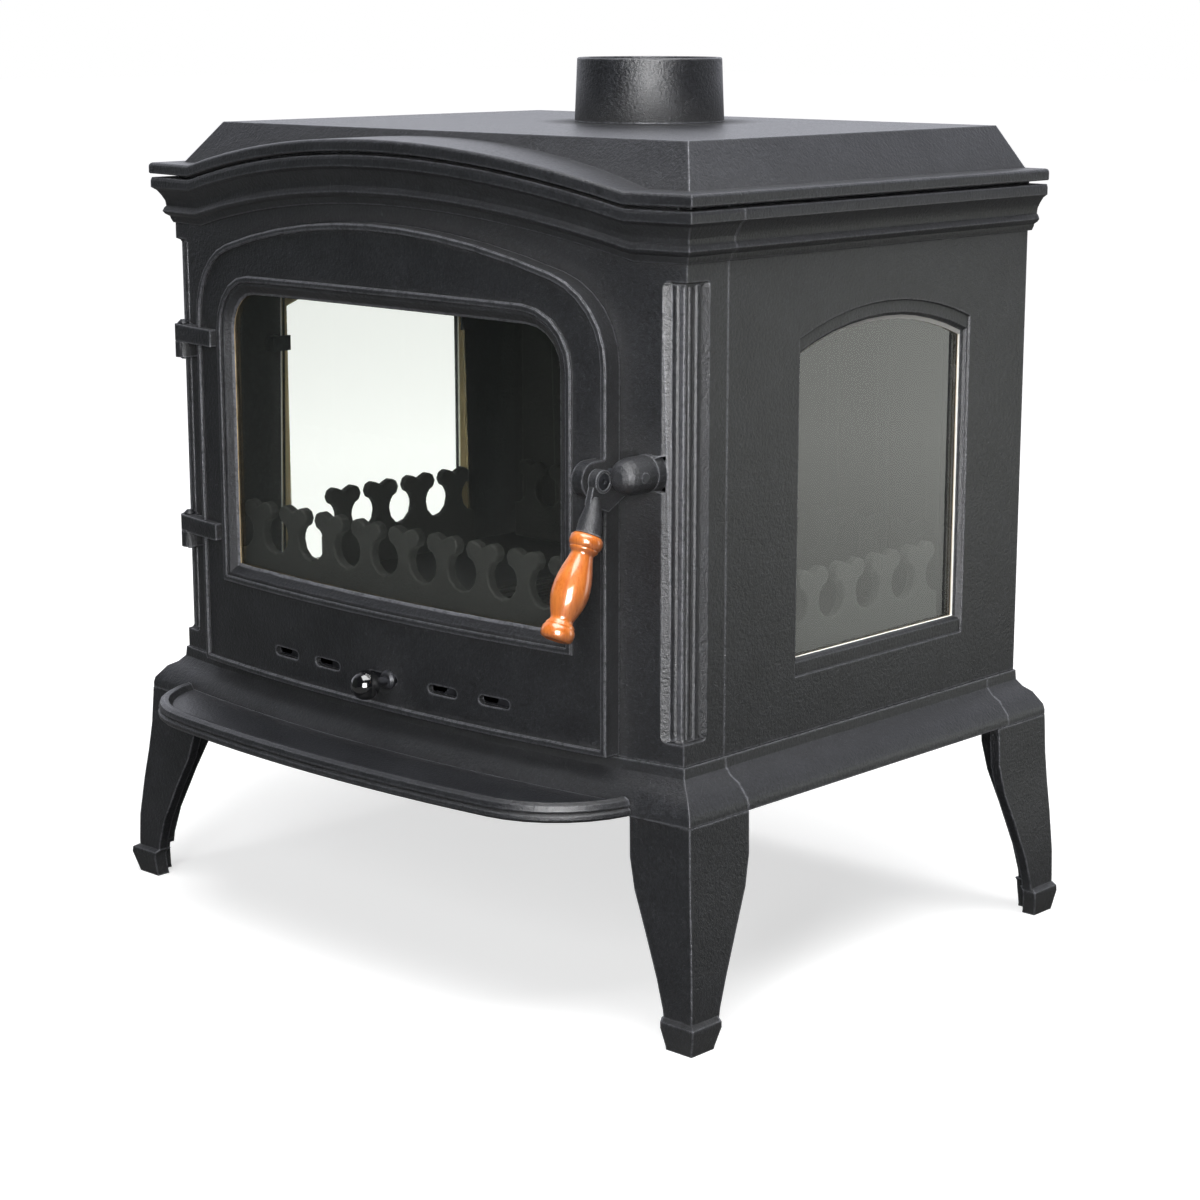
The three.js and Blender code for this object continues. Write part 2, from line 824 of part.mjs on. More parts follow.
function buildSidePlate(side) {
  const front = returnY + seatGap;
  const [left, right] = side > 0 ? [innerHalfWidth, bodyHalfWidth] : [-bodyHalfWidth, -innerHalfWidth];
  const sheet = box(left, right, front, bodyRear, bodyFoot, plateTop);
  const trim = moulding(sideStations(side, front, bodyRear + lidRearReach), corniceProfile);
  const ringAt = (outline, inset, x) => sideOutline(side, outline, inset).map(([y, z]) => [side * x, y, z]);
  const recessFloor = bodyHalfWidth - recessDepth;
  const recess = loft([
    ringAt(recessOutline, 0, bodyHalfWidth + overrun),
    ringAt(recessOutline, 0, bodyHalfWidth),
    ringAt(recessOutline, recessBevel, recessFloor),
  ]);
  const opening = loft([
    ringAt(sideWindowOutline, -sideWindowBevel, bodyHalfWidth + overrun),
    ringAt(sideWindowOutline, -sideWindowBevel, recessFloor),
    ringAt(sideWindowOutline, 0, recessFloor - sideWindowBevel),
    ringAt(sideWindowOutline, 0, innerHalfWidth - overrun),
  ]);
  const ledge = (low) => {
    const [near, far] = side > 0
      ? [innerHalfWidth - ledgeWidth, innerHalfWidth + wall / 2]
      : [-innerHalfWidth - wall / 2, -innerHalfWidth + ledgeWidth];
    return box(near, far, front, bodyRear - wall - seatGap, low, low + ledgeHeight);
  };
  return join(
    join(sheet, trim).subtract(recess).subtract(opening),
    ledge(bedBottom - seatGap - ledgeHeight),
    ledge(baffleBottom - seatGap - ledgeHeight),
  );
}

function buildBackPlate() {
  const half = innerHalfWidth - seatGap;
  return box(-half, half, bodyRear - wall, bodyRear, bodyFoot, plateTop);
}

// Lid: a raised top with sloping sides on a wide brim that arches over the door
function lidRing(z, inset) {
  const runShare = (lidTop - z) / (lidTop - lidBrimTop);
  const half = lidTopHalfWidth + lidSideRun * runShare - inset;
  const front = -lidTopFront - lidFrontRun * runShare + inset;
  const rear = lidTopRear + lidRearRun * runShare - inset;
  return [[-half, front, z], [half, front, z], [half, rear, z], [-half, rear, z]];
}

function buildLid() {
  const rear = bodyRear + lidRearReach;
  const lip = moulding(frontStations(rear, true), [
    [-lidLipRoot, lidLipBottom],
    [lidLipReach - edgeStep, lidLipBottom],
    [lidLipReach, lidLipBottom + edgeStep],
    ...arc(lidLipReach - lidLipRound, lidBrimTop - lidLipRound, lidLipRound, 0, Math.PI / 2, lidLipSteps),
    [-lidLipRoot, lidBrimTop],
  ]);
  const half = bodyHalfWidth - lidLipRoot / 2;
  const brimPlan = [...bowLine(half, -lidLipRoot / 2), [half, rear], [-half, rear]];
  const arched = [
    ...archStations(half).map((x) => [x, lidLipBottom + archLift(x)]),
    ...archStations(half).map((x) => [x, lidBrimTop + archLift(x)]).reverse(),
  ];
  const brim = planPrism(brimPlan, lidLipBottom - overrun, lidTop + overrun)
    .intersect(frontPrism(arched, -bodyFront - 2 * overrun, -lidTopFront));
  const flatBrim = planPrism(rectangle(-half, half, -lidTopFront, rear), lidLipBottom, lidBrimTop);
  const cap = loft([lidRing(lidLipBottom, 0), lidRing(lidTop, 0)]);
  const hollow = loft([lidRing(lidLipBottom - overrun, lidWall), lidRing(lidTop - lidWall, lidWall)]);
  const hole = rodAlongZ(flueBore, lidLipBottom, lidTop + overrun, 0, flueCentre, flueSides);
  return join(lip, brim, flatBrim, cap).subtract(hollow).subtract(hole);
}

function buildFlueCollar() {
  const low = lidTop + seatGap;
  const high = lidTop + flueHeight;
  const lip = flueRadius - flueTopRadius;
  return solidOf(turned([
    [flueBore, low],
    [flueRadius, low],
    [flueRadius, low + lip],
    [flueTopRadius + lip / 2, low + flueHeight / 2],
    [flueTopRadius, high - lip / 2],
    [flueTopRadius - lip / 2, high],
    [flueBore, high],
    [flueBore, low],
  ], flueSides).translate(0, flueCentre, 0));
}

// Base moulding in four rails, the hearth plate on their flange, and the ash shelf
const baseBottom = bodyBottom - baseHeight;
const baseProfile = [
  ...baseOutlineShare.map(([out, up]) => [out * baseReach, baseBottom + up * baseHeight]),
  [-baseFlange, baseBottom + baseOutlineShare.at(-1)[1] * baseHeight],
  [-baseFlange, bodyBottom],
];

function sideRail(side) {
  return moulding(sideStations(side, returnY + seatGap / 2, rearReturnY - seatGap / 2), baseProfile);
}

function innerFloor(low, high) {
  const pilasterX = bodyHalfWidth - pilasterWidth - seatGap;
  const pilasterY = pilasterWall + seatGap - bodyFront;
  const postX = bodyHalfWidth - pilasterWall - seatGap;
  const postY = pilasterWidth + seatGap - bodyFront;
  const half = innerHalfWidth - seatGap;
  const rear = bodyRear - wall - seatGap;
  const corner = [[pilasterX, pilasterY], [postX, pilasterY], [postX, postY], [half, postY], [half, rear]];
  const mirrored = corner.map(([x, y]) => [-x, y]).reverse();
  return planPrism([...mirrored, ...bowLine(pilasterX, -wall - seatGap), ...corner], low, high);
}

function buildHearthPlate() {
  return innerFloor(bodyFoot, bodyFoot + hearthThickness);
}

function buildAshShelf() {
  const outline = {
    halfWidth: shelfHalfWidth,
    bottom: 0,
    apex: shelfFront,
    archRadius: shelfBowRadius,
    cornerRadius: shelfCornerRadius,
    cornerSteps: shelfCornerSteps,
    archSpans: shelfSpans,
  };
  const ringAt = (inset, z) => archedOutline(outline, inset).map(([x, ahead]) => [x, -ahead, z]);
  const rings = shelfRimShare.map(([across, up]) =>
    ringAt(across * shelfRimWidth, baseBottom + up * shelfRimHeight));
  const floor = ringAt(shelfRimWidth, baseBottom + shelfFloor);
  const reach = baseReach * frontShare + seatGap;
  const farHalf = bodyHalfWidth + baseReach;
  const back = planPrism([
    ...archStations(farHalf).map((x) => [x, bowY(Math.min(Math.abs(x), bodyHalfWidth), 0) - reach]),
    [farHalf, overrun],
    [-farHalf, overrun],
  ], baseBottom - overrun, baseBottom + overrun);
  return loft([...rings, floor]).subtract(back);
}

// Legs of angle section, with a thicker angle for the foot and a web under the base.
// The front legs splay both ways, and the rear ones stand flush with the rear of the base.
const rearmost = bodyRear + rearShare * baseReach;

function legCorner(sideX, sideY, reach) {
  return [sideX * (bodyHalfWidth + reach), sideY < 0 ? -bodyFront - frontShare * reach : rearmost];
}

function buildLeg(sideX, sideY) {
  const top = baseBottom - seatGap;
  const inward = (corner, alongX, alongY, z) => [corner[0] - sideX * alongX, corner[1] - sideY * alongY, z];
  const angleRing = (reach, acrossFace, acrossSide, thickness, z) => {
    const corner = legCorner(sideX, sideY, reach);
    return [
      inward(corner, 0, 0, z),
      inward(corner, acrossFace, 0, z),
      inward(corner, acrossFace, thickness, z),
      inward(corner, thickness, thickness, z),
      inward(corner, thickness, acrossSide, z),
      inward(corner, 0, acrossSide, z),
    ];
  };
  const shank = loft(legHeightShare.map((up, i) => angleRing(
    legReach * legReachShare[i],
    legFaceWidth * legWidthShare[i],
    legSideWidth * legWidthShare[i],
    legWall,
    top * up,
  )));
  const foot = loft(footHeightShare.map((up, i) => angleRing(
    footReach * footReachShare[i],
    footWidth * footWidthShare[i],
    footWidth * footWidthShare[i],
    footWall,
    footHeight * up,
  )));
  const shoulder = legCorner(sideX, sideY, legReach * legReachShare.at(-1));
  const web = planPrism([
    inward(shoulder, legWall / 2, legWall / 2, 0),
    inward(shoulder, legFaceWidth, legWall / 2, 0),
    inward(shoulder, legWall / 2, legSideWidth, 0),
  ], top - legFlange, top);
  return join(shank, foot, web);
}

// Door casting with its beads, window reveal, air slots, hinge lugs and latch boss
function revealCut() {
  const spans = spansAlong(archedOutline(windowOutline), outlineStep);
  const ring = (inset, ahead) => refined(archedOutline(windowOutline, inset), spans)
    .map(([x, z]) => [x, bowY(x, ahead), z]);
  const beadFront = doorSkinFront + windowBeadHeight;
  return join(
    loft([ring(0, beadFront + overrun), ring(0, beadFront)]),
    loft([ring(0, beadFront), ring(revealWidth, doorSkinBack)]),
    loft([ring(revealWidth, doorSkinBack), ring(revealWidth, doorSkinBack - overrun)]),
  );
}

const slotCentres = [-slotOuter, -slotInner, slotInner, slotOuter].map((x) => x + slotRowCentre);

function slotCut(centre, length, height) {
  const outline = slotOutline(centre, slotRowHeight, length, height);
  return frontPrism(outline, -bodyFront - 2 * overrun, 0);
}

function hingeLug(low) {
  const high = low + hingeLugHeight;
  const edge = -doorHalfWidth;
  const strapEnd = edge + strapLength;
  const strap = planPrism([
    [strapEnd, bowY(strapEnd, strapFront)],
    [strapEnd, bowY(strapEnd, doorSkinBack)],
    [edge, bowY(edge, doorSkinBack)],
    [edge - doorEdge, hingeY - hingeRadius + strapThickness],
    [hingeX, hingeY - hingeRadius + strapThickness],
    [hingeX, hingeY - hingeRadius],
    [edge, bowY(edge, strapFront)],
  ], low, high);
  const barrel = rodAlongZ(hingeRadius, low, high, hingeX, hingeY, hingeSides);
  return join(strap, barrel).subtract(hingeHole(low));
}

function latchBoss() {
  const left = doorHalfWidth - bossLength;
  const knuckle = rodAlongX(bossRadius, left, doorHalfWidth, handleY, handleZ, handleSides);
  const root = box(
    left,
    doorHalfWidth,
    handleY,
    bowY(left, doorSkinBack),
    handleZ - bossRadius,
    handleZ + bossRadius,
  );
  const boreEnd = doorHalfWidth + overrun;
  const bore = rodAlongX(screwBore, left + screwRadius, boreEnd, handleY, handleZ, handleSides);
  return [join(knuckle, root), bore];
}

function buildDoorFrame() {
  const outer = archedOutline(doorOutline, 0);
  const skin = bowedPanel(outer, doorSkinBack, doorSkinFront);
  const rim = bowedRing(outer, archedOutline(doorOutline, doorEdge), doorBack, doorFront - edgeStep);
  const bead = bowedRing(
    archedOutline(doorOutline, edgeStep),
    archedOutline(doorOutline, doorBead),
    doorSkinFront,
    doorFront,
  );
  const beadFront = doorSkinFront + windowBeadHeight;
  const surround = bowedRing(
    archedOutline(windowOutline, -windowBead),
    archedOutline(windowOutline, edgeStep),
    doorSkinFront - edgeStep,
    beadFront - edgeStep,
  );
  const surroundTop = bowedRing(
    archedOutline(windowOutline, edgeStep - windowBead),
    archedOutline(windowOutline, edgeStep),
    doorSkinFront - edgeStep,
    beadFront,
  );
  let frame = join(skin, rim, bead, surround, surroundTop).subtract(revealCut());
  slotCentres.forEach((centre) => {
    frame = frame.subtract(slotCut(centre, slotLength, slotHeight));
  });
  frame = frame.subtract(slotCut(slotRowCentre, stemSlotLength, slotHeight));
  hingeLugLows.forEach((low) => {
    frame = frame.add(hingeLug(low));
  });
  const [boss, bore] = latchBoss();
  return frame.add(boss).subtract(bore);
}

const glassFront = doorSkinBack - glassSealThickness - 2 * seatGap;
const glassBack = glassFront - glassThickness;
const glassInset = revealWidth - glassLap;

function buildDoorGlass() {
  return bowedPanel(archedOutline(windowOutline, glassInset), glassBack, glassFront);
}

function buildGlassSeal() {
  return bowedRing(
    archedOutline(windowOutline, glassInset),
    archedOutline(windowOutline, revealWidth - edgeStep),
    glassFront + seatGap,
    doorSkinBack - seatGap,
  );
}

function buildDoorClip(x, edge, direction) {
  const [left, right] = [x - doorClipWidth / 2, x + doorClipWidth / 2];
  const spanOf = (from, to) => rectangle(left, right, Math.min(from, to), Math.max(from, to));
  const clear = edge + direction * seatGap;
  const footEnd = edge + direction * doorClipFoot;
  const tabEnd = edge - direction * doorClipLap;
  const tabBack = glassBack - seatGap - doorClipPlate;
  return join(
    bowedPanel(spanOf(clear, footEnd), tabBack, doorSkinBack - seatGap),
    bowedPanel(spanOf(tabEnd, footEnd), tabBack, tabBack + doorClipPlate),
  );
}

function buildDoorSeal() {
  return bowedRing(
    archedOutline(doorOutline, doorEdge + seatGap),
    archedOutline(doorOutline, doorEdge + seatGap + sealWidth),
    sealBack,
    doorSkinBack - seatGap,
  );
}

// Air slide, its guides, its stem and the ball that moves it
const slideLow = slotRowHeight - slideHeight / 2;
const slideHigh = slotRowHeight + slideHeight / 2;

function buildAirSlide() {
  const plate = bowedPanel(
    rectangle(slotRowCentre - slideHalfWidth, slotRowCentre + slideHalfWidth, slideLow, slideHigh),
    slideBack,
    slideBack + slideThickness,
  );
  const holes = slotCentres.map((centre) => slotCut(centre - slideShift, slideHole, slotHeight));
  const pierced = holes.reduce((whole, hole) => whole.subtract(hole), plate);
  const tip = bowY(stemX, doorSkinFront) - knobReach;
  const root = bowY(stemX, slideBack + slideThickness / 2);
  const stem = solidOf(rod(stemRadius, tip, root, stemSides)
    .rotateX(-Math.PI / 2)
    .translate(stemX, 0, slotRowHeight));
  return pierced.add(stem);
}

function buildSlideGuide(direction) {
  const inner = direction > 0 ? slideHigh : slideLow;
  const clear = inner + direction * runningGap;
  const spanOf = (from, to) => rectangle(
    slotRowCentre - guideHalfWidth,
    slotRowCentre + guideHalfWidth,
    Math.min(from, to),
    Math.max(from, to),
  );
  const outer = direction > 0 ? clear + guideHeight : doorBottom + doorEdge + sealWidth + 2 * seatGap;
  return join(
    bowedPanel(spanOf(clear, outer), guideBack, doorSkinBack - seatGap),
    bowedPanel(spanOf(inner - direction * guideLap, outer), guideBack, guideBack + guideLip),
  );
}

function buildStemCollar() {
  const back = bowY(stemX, doorSkinFront) - runningGap;
  const bore = stemRadius + seatGap;
  return solidOf(turned([
    [bore, back],
    [collarRadius, back],
    [collarRadius, back - collarThickness / 2],
    [collarRadius - collarThickness / 2, back - collarThickness],
    [bore, back - collarThickness],
    [bore, back],
  ], stemSides).rotateX(-Math.PI / 2).translate(stemX, 0, slotRowHeight));
}

function buildAirKnob() {
  const y = bowY(stemX, doorSkinFront) - knobReach;
  const ball = new THREE.SphereGeometry(knobRadius, knobSides, knobSides / 2)
    .translate(stemX, y, slotRowHeight);
  const bore = solidOf(rod(stemRadius + seatGap, y - seatGap, y + overrun, stemSides)
    .rotateX(-Math.PI / 2)
    .translate(stemX, 0, slotRowHeight));
  return solidOf(ball).subtract(bore);
}

// Handle: a lever with a latch hook on a screw, and a turned wooden grip
const leverLeft = doorHalfWidth + leverGap;
const leverRight = leverLeft + leverThickness;
const leverX = (leverLeft + leverRight) / 2;

function atHandle([back, up]) {
  return [handleY + back, handleZ + up];
}

function alongGrip(geometry) {
  const [y, z] = atHandle([-gripAhead, -gripDrop]);
  return geometry.rotateX(-gripTilt).translate(leverX, y, z);
}

function buildHandleLever() {
  const eye = rodAlongX(eyeRadius, leverLeft, leverRight, handleY, handleZ, handleSides);
  const pinBack = latchPinY - handleY;
  const hookFloor = latchPinRise - latchPinRadius - latchSlack;
  const hookInner = pinBack + latchPinRadius + latchSlack;
  const hookOuter = hookInner + hookThickness;
  const web = sidePrism([
    [-eyeRadius * webShare, 0],
    [-neckAhead - neckTopRadius, -neckDrop],
    [hookToeBack, -hookToeDrop],
    [hookOuter, -hookHeelDrop],
    [hookOuter, hookTipRise - hookTipBevel],
    [hookOuter - hookTipBevel, hookTipRise],
    [hookInner, hookTipRise],
    [hookInner, hookFloor],
    [pinBack - latchPinRadius, hookFloor],
    [eyeRadius * webShare, eyeRadius / 2],
  ].map(atHandle), leverLeft, leverRight - eyeCounterDepth);
  const neckRun = gripAhead - neckAhead;
  const neckFall = gripDrop - neckDrop;
  const neckLength = Math.hypot(neckRun, neckFall) + neckSink;
  const [startY, startZ] = atHandle([-neckAhead, -neckDrop]);
  const neck = solidOf(turned([
    [0, -neckLength],
    [neckEndRadius, -neckLength],
    [neckEndRadius, -neckLength * neckEndShare],
    [(neckEndRadius + neckTopRadius) / 2 + neckSwell, -neckLength / 2],
    [neckTopRadius, 0],
    [neckTopRadius / 2, neckTopRadius],
    [0, neckTopRadius],
  ], handleSides).rotateX(-Math.atan2(neckRun, neckFall)).translate(leverX, startY, startZ));
  const tang = solidOf(alongGrip(rod(gripTang, -gripTangLength, neckEndRadius / 2, stemSides)));
  const mouth = solidOf(alongGrip(rod(gripRadius, -overrun, 0, stemSides)));
  const counterbore = rodAlongX(
    eyeCounterbore,
    leverRight - eyeCounterDepth,
    leverRight + overrun,
    handleY,
    handleZ,
    handleSides,
  );
  const bore = rodAlongX(
    screwBore,
    leverLeft - overrun,
    leverRight + overrun,
    handleY,
    handleZ,
    handleSides,
  );
  return join(eye, web, neck).subtract(mouth).add(tang).subtract(counterbore).subtract(bore);
}

function buildHandleGrip() {
  const profile = gripOutlineShare.map(([out, down]) => [out * gripRadius, -seatGap - down * gripLength]);
  const core = turned([[0, -seatGap], ...profile, [0, -seatGap - gripLength]], gripSides);
  const bore = rod(gripBore, -gripTangLength - seatGap, overrun, stemSides);
  return solidOf(alongGrip(core)).subtract(solidOf(alongGrip(bore)));
}

function buildHandleScrew() {
  const seat = leverRight - eyeCounterDepth + seatGap;
  const head = rodAlongX(screwHeadRadius, seat, seat + screwHeadHeight, handleY, handleZ, handleSides);
  const tip = doorHalfWidth - bossLength + screwRadius + seatGap;
  const shank = rodAlongX(screwRadius, tip, seat + screwHeadHeight / 2, handleY, handleZ, handleSides);
  const top = seat + screwHeadHeight;
  const socket = rodAlongX(
    screwSocket,
    top - screwSocketDepth,
    top + overrun,
    handleY,
    handleZ,
    screwSocketSides,
  );
  return join(head, shank).subtract(socket);
}

function buildLatchKeeper() {
  const base = keeperPadY - seatGap;
  const dome = keeperOutlineShare.map(([out, along]) => [out * keeperRadius, base - along * keeperLength]);
  const body = solidOf(turned([
    [0, base],
    [keeperFlange, base],
    [keeperFlange, base - keeperFlangeThickness],
    [keeperRadius, base - keeperFlangeThickness],
    ...dome,
  ], handleSides).rotateX(-Math.PI / 2).translate(keeperX, 0, keeperZ));
  const bore = rodAlongX(
    latchPinRadius + seatGap,
    keeperX - overrun,
    latchPinEnd + seatGap,
    latchPinY,
    latchPinZ,
    stemSides,
  );
  return body.subtract(bore);
}

function buildLatchPin() {
  return rodAlongX(latchPinRadius, leverLeft, latchPinEnd, latchPinY, latchPinZ, stemSides);
}

function buildHingePin(low) {
  const bottom = low - hingeLugHeight - pinTail;
  const top = low + hingeLugHeight + seatGap;
  return solidOf(turned([
    [0, bottom],
    [hingePinRadius - edgeStep, bottom],
    [hingePinRadius, bottom + edgeStep],
    [hingePinRadius, top],
    [pinHeadRadius, top],
    [pinHeadRadius, top + edgeStep],
    [pinHeadRadius / 2, top + pinHeadHeight],
    [0, top + pinHeadHeight],
  ], hingeSides).translate(hingeX, hingeY, 0));
}

// Side glass, its flat seal and its clips
const sideSealOuter = innerHalfWidth - seatGap;
const sideSealInner = sideSealOuter - sideSealThickness;
const sideGlassOuter = sideSealInner - seatGap;
const sideGlassInner = sideGlassOuter - glassThickness;

function buildSideGlass(side) {
  return sideWindowPrism(side, -sideGlassLap, sideGlassInner, sideGlassOuter);
}

function buildSideSeal(side) {
  return sideWindowPrism(side, -sideGlassLap, sideSealInner, sideSealOuter)
    .subtract(sideWindowPrism(side, 0, sideSealInner - overrun, sideSealOuter + overrun));
}

function buildSideClip(side, along) {
  const centre = side > 0 ? rightWindowCentre : leftWindowCentre;
  const edge = centre + along * (sideWindowHalfWidth + sideGlassLap);
  const foot = edge + along * sideClipFoot;
  const clear = edge + along * seatGap;
  const lap = edge - along * sideGlassLap;
  const [low, high] = [sideClipZ - sideClipHeight / 2, sideClipZ + sideClipHeight / 2];
  const tabOuter = sideGlassInner - seatGap;
  const piece = (inner, outer, from, to) => {
    const [left, right] = side > 0 ? [inner, outer] : [-outer, -inner];
    return box(left, right, Math.min(from, to), Math.max(from, to), low, high);
  };
  return join(
    piece(tabOuter - sideClipPlate, sideSealOuter, clear, foot),
    piece(tabOuter - sideClipPlate, tabOuter, lap, foot),
  );
}

// Firebox: bed plate, grate, ash pan, fireback and baffle
const bedTop = bedBottom + bedThickness;
const fireboxRear = bodyRear - wall - seatGap;

function buildBedPlate() {
  const hole = (halfX, halfY, low) => box(-halfX, halfX, -halfY, halfY, low, bedTop + overrun);
  return innerFloor(bedBottom, bedTop)
    .subtract(hole(grateHalfWidth, grateHalfDepth, bedBottom + grateSeat))
    .subtract(hole(grateHalfWidth - grateRebate, grateHalfDepth - grateRebate, bedBottom - overrun));
}

function buildGrate() {
  const halfX = grateHalfWidth - seatGap;
  const halfY = grateHalfDepth - seatGap;
  const low = bedBottom + grateSeat + seatGap;
  const slotHalfDepth = grateHalfDepth - grateRebate - grateSlotMargin;
  const pitch = (2 * (grateHalfWidth - grateRebate - grateSlotMargin)) / (grateSlotCount - 1);
  const half = grateSlotWidth / 2;
  const slots = Array.from({ length: grateSlotCount }, (_, i) => {
    const x = (i - (grateSlotCount - 1) / 2) * pitch;
    return box(x - half, x + half, -slotHalfDepth, slotHalfDepth, low - overrun, low + overrun);
  });
  return slots.reduce(
    (whole, slot) => whole.subtract(slot),
    box(-halfX, halfX, -halfY, halfY, low, low + grateThickness),
  );
}

function buildAshPan() {
  const floor = bodyFoot + hearthThickness + seatGap;
  const front = panSetBack - bodyFront;
  const rear = front + panLength;
  const tray = box(-panHalfWidth, panHalfWidth, front, rear, floor, floor + panHeight);
  const inside = box(
    panWall - panHalfWidth,
    panHalfWidth - panWall,
    front + panWall,
    rear - panWall,
    floor + panWall,
    floor + panHeight + overrun,
  );
  return tray.subtract(inside);
}

function buildPanPull() {
  const top = bodyFoot + hearthThickness + seatGap + panHeight;
  const rear = panSetBack - bodyFront - seatGap;
  return join(
    box(-pullHalfWidth, pullHalfWidth, rear - panWall, rear, top - pullDrop, top),
    box(-pullHalfWidth, pullHalfWidth, rear - pullReach, rear, top - panWall, top),
  );
}

function buildFireback() {
  const rear = fireboxRear - linerThickness;
  const front = rear - linerThickness;
  const low = bedTop + seatGap;
  const plate = box(-linerHalfWidth, linerHalfWidth, front, rear, low, linerTop);
  const pitch = (2 * linerHalfWidth) / (linerRibCount + 1);
  const ribLow = low + linerRibWidth;
  const ribHigh = linerTop - linerRibWidth;
  const half = linerRibWidth / 2;
  const ribs = Array.from({ length: linerRibCount }, (_, i) => {
    const x = (i - (linerRibCount - 1) / 2) * pitch;
    return box(x - half, x + half, front - linerRibDepth, rear, ribLow, ribHigh);
  });
  const spacers = sides.map(([, side]) => {
    const x = side * linerHalfWidth * spacerShare;
    return box(x - linerRibWidth, x + linerRibWidth, rear - linerRibDepth, fireboxRear, low, ribLow);
  });
  return join(plate, ...ribs, ...spacers);
}

function buildBaffle() {
  const half = innerHalfWidth - seatGap;
  return box(-half, half, -baffleFront, fireboxRear, baffleBottom, baffleBottom + baffleThickness);
}

// Log guards: a rail of posts with two-lobed heads and round holes between them
function guardOutline(top, halfLength, postCount) {
  const pitch = (2 * halfLength) / postCount;
  const low = bedTop + seatGap;
  const radius = guardHole / 2;
  const holeZ = top - guardHoleDrop + radius;
  const lobeX = (pitch - guardGap) / 2 - guardLobe;
  const lobeZ = top - guardLobe;
  const halfTurn = Math.PI;
  const quarter = halfTurn / 2;
  const holeArc = (x, start, end) => arc(x, holeZ, radius, start, end, guardHoleSteps / 2);
  const lobeArc = (x, start, end) => arc(x, lobeZ, guardLobe, start, end, guardLobeSteps);
  const posts = Array.from({ length: postCount }, (_, i) => halfLength - pitch / 2 - i * pitch);
  const outline = posts.flatMap((x) => [
    ...holeArc(x + pitch / 2, -quarter, -halfTurn),
    ...holeArc(x + pitch / 2, halfTurn, halfTurn - quarter / 2).slice(1),
    ...lobeArc(x + lobeX, -quarter / 2, quarter * 1.5),
    [x, top - guardNotch],
    ...lobeArc(x - lobeX, quarter / 2, halfTurn + quarter / 2),
    ...holeArc(x - pitch / 2, quarter / 2, 0),
    ...holeArc(x - pitch / 2, 0, -quarter).slice(1, -1),
  ]);
  const ends = [[-halfLength, top - guardHoleDrop], [-halfLength, low], [halfLength, low]];
  return [...outline, ...ends].reverse();
}

function buildFrontGuard() {
  const rear = frontGuardSetBack - bodyFront;
  const outline = guardOutline(frontGuardTop, innerHalfWidth - frontGuardSide, frontGuardPostCount);
  return frontPrism(outline, rear - guardThickness, rear);
}

function buildRearGuard() {
  const rear = fireboxRear - 2 * linerThickness - linerRibDepth - rearGuardGap;
  const outline = guardOutline(sideGuardTop, innerHalfWidth - rearGuardSide, rearGuardPostCount);
  return frontPrism(outline, rear - guardThickness, rear);
}

function buildSideGuard(side) {
  const centred = guardOutline(sideGuardTop, sideGuardHalfLength, sideGuardPostCount);
  const outline = moved(centred, sideGuardCentre, 0);
  const outer = sideGlassInner - sideGuardGap;
  const inner = outer - guardThickness;
  const [left, right] = side > 0 ? [inner, outer] : [-outer, -inner];
  return sidePrism(outline, left, right);
}

// Assembly
addPiece('front_plate', buildFrontPlate(), castIron);
sides.forEach(([name, side]) => {
  addPiece(`${name}_side_plate`, buildSidePlate(side), castIron);
  addPiece(`base_${name}_rail`, sideRail(side), castIron);
  addPiece(`${name}_window_seal`, buildSideSeal(side), ceramicRope);
  addPiece(`${name}_window_glass`, buildSideGlass(side), clearGlass);
  addPiece(`${name}_window_clip_front`, buildSideClip(side, -1), blackSteel);
  addPiece(`${name}_window_clip_rear`, buildSideClip(side, 1), blackSteel);
  addPiece(`${name}_log_guard`, buildSideGuard(side), castIron);
  addPiece(`front_${name}_leg`, buildLeg(side, -1), castIron);
  addPiece(`rear_${name}_leg`, buildLeg(side, 1), castIron);
  const clipX = side * doorClipX;
  addPiece(`door_clip_upper_${name}`, buildDoorClip(clipX, windowApex - glassInset, 1), blackSteel);
  addPiece(`door_clip_lower_${name}`, buildDoorClip(clipX, windowBottom + glassInset, -1), blackSteel);
});
addPiece('back_plate', buildBackPlate(), castIron);
addPiece('top_plate', buildLid(), castIron);
addPiece('flue_collar', buildFlueCollar(), castIron);
addPiece('base_front_rail', moulding(frontStations(returnY - seatGap / 2, false), baseProfile), castIron);
addPiece('base_rear_rail', moulding(rearStations(), baseProfile), castIron);
addPiece('hearth_plate', buildHearthPlate(), castIron);
addPiece('ash_shelf', buildAshShelf(), castIron);
addPiece('firebed_plate', buildBedPlate(), castIron);
addPiece('fire_grate', buildGrate(), castIron);
addPiece('ash_pan', buildAshPan(), sheetSteel);
addPiece('ash_pan_pull', buildPanPull(), sheetSteel);
addPiece('fireback', buildFireback(), castIron);
addPiece('baffle_plate', buildBaffle(), castIron);
addPiece('front_log_guard', buildFrontGuard(), castIron);
addPiece('rear_log_guard', buildRearGuard(), castIron);
addPiece('door_frame', buildDoorFrame(), castIron);
addPiece('door_glass', buildDoorGlass(), clearGlass);
addPiece('door_glass_seal', buildGlassSeal(), ceramicRope);
addPiece('door_seal', buildDoorSeal(), ceramicRope);
addPiece('air_slide', buildAirSlide(), blackSteel);
addPiece('air_slide_guide_upper', buildSlideGuide(1), blackSteel);
addPiece('air_slide_guide_lower', buildSlideGuide(-1), blackSteel);
addPiece('air_stem_collar', buildStemCollar(), blackSteel);
addPiece('air_knob', buildAirKnob(), blackBall);
addPiece('hinge_pin_upper', buildHingePin(hingeLugLows[0]), blackSteel);
addPiece('hinge_pin_lower', buildHingePin(hingeLugLows[1]), blackSteel);
addPiece('latch_keeper', buildLatchKeeper(), castIron);
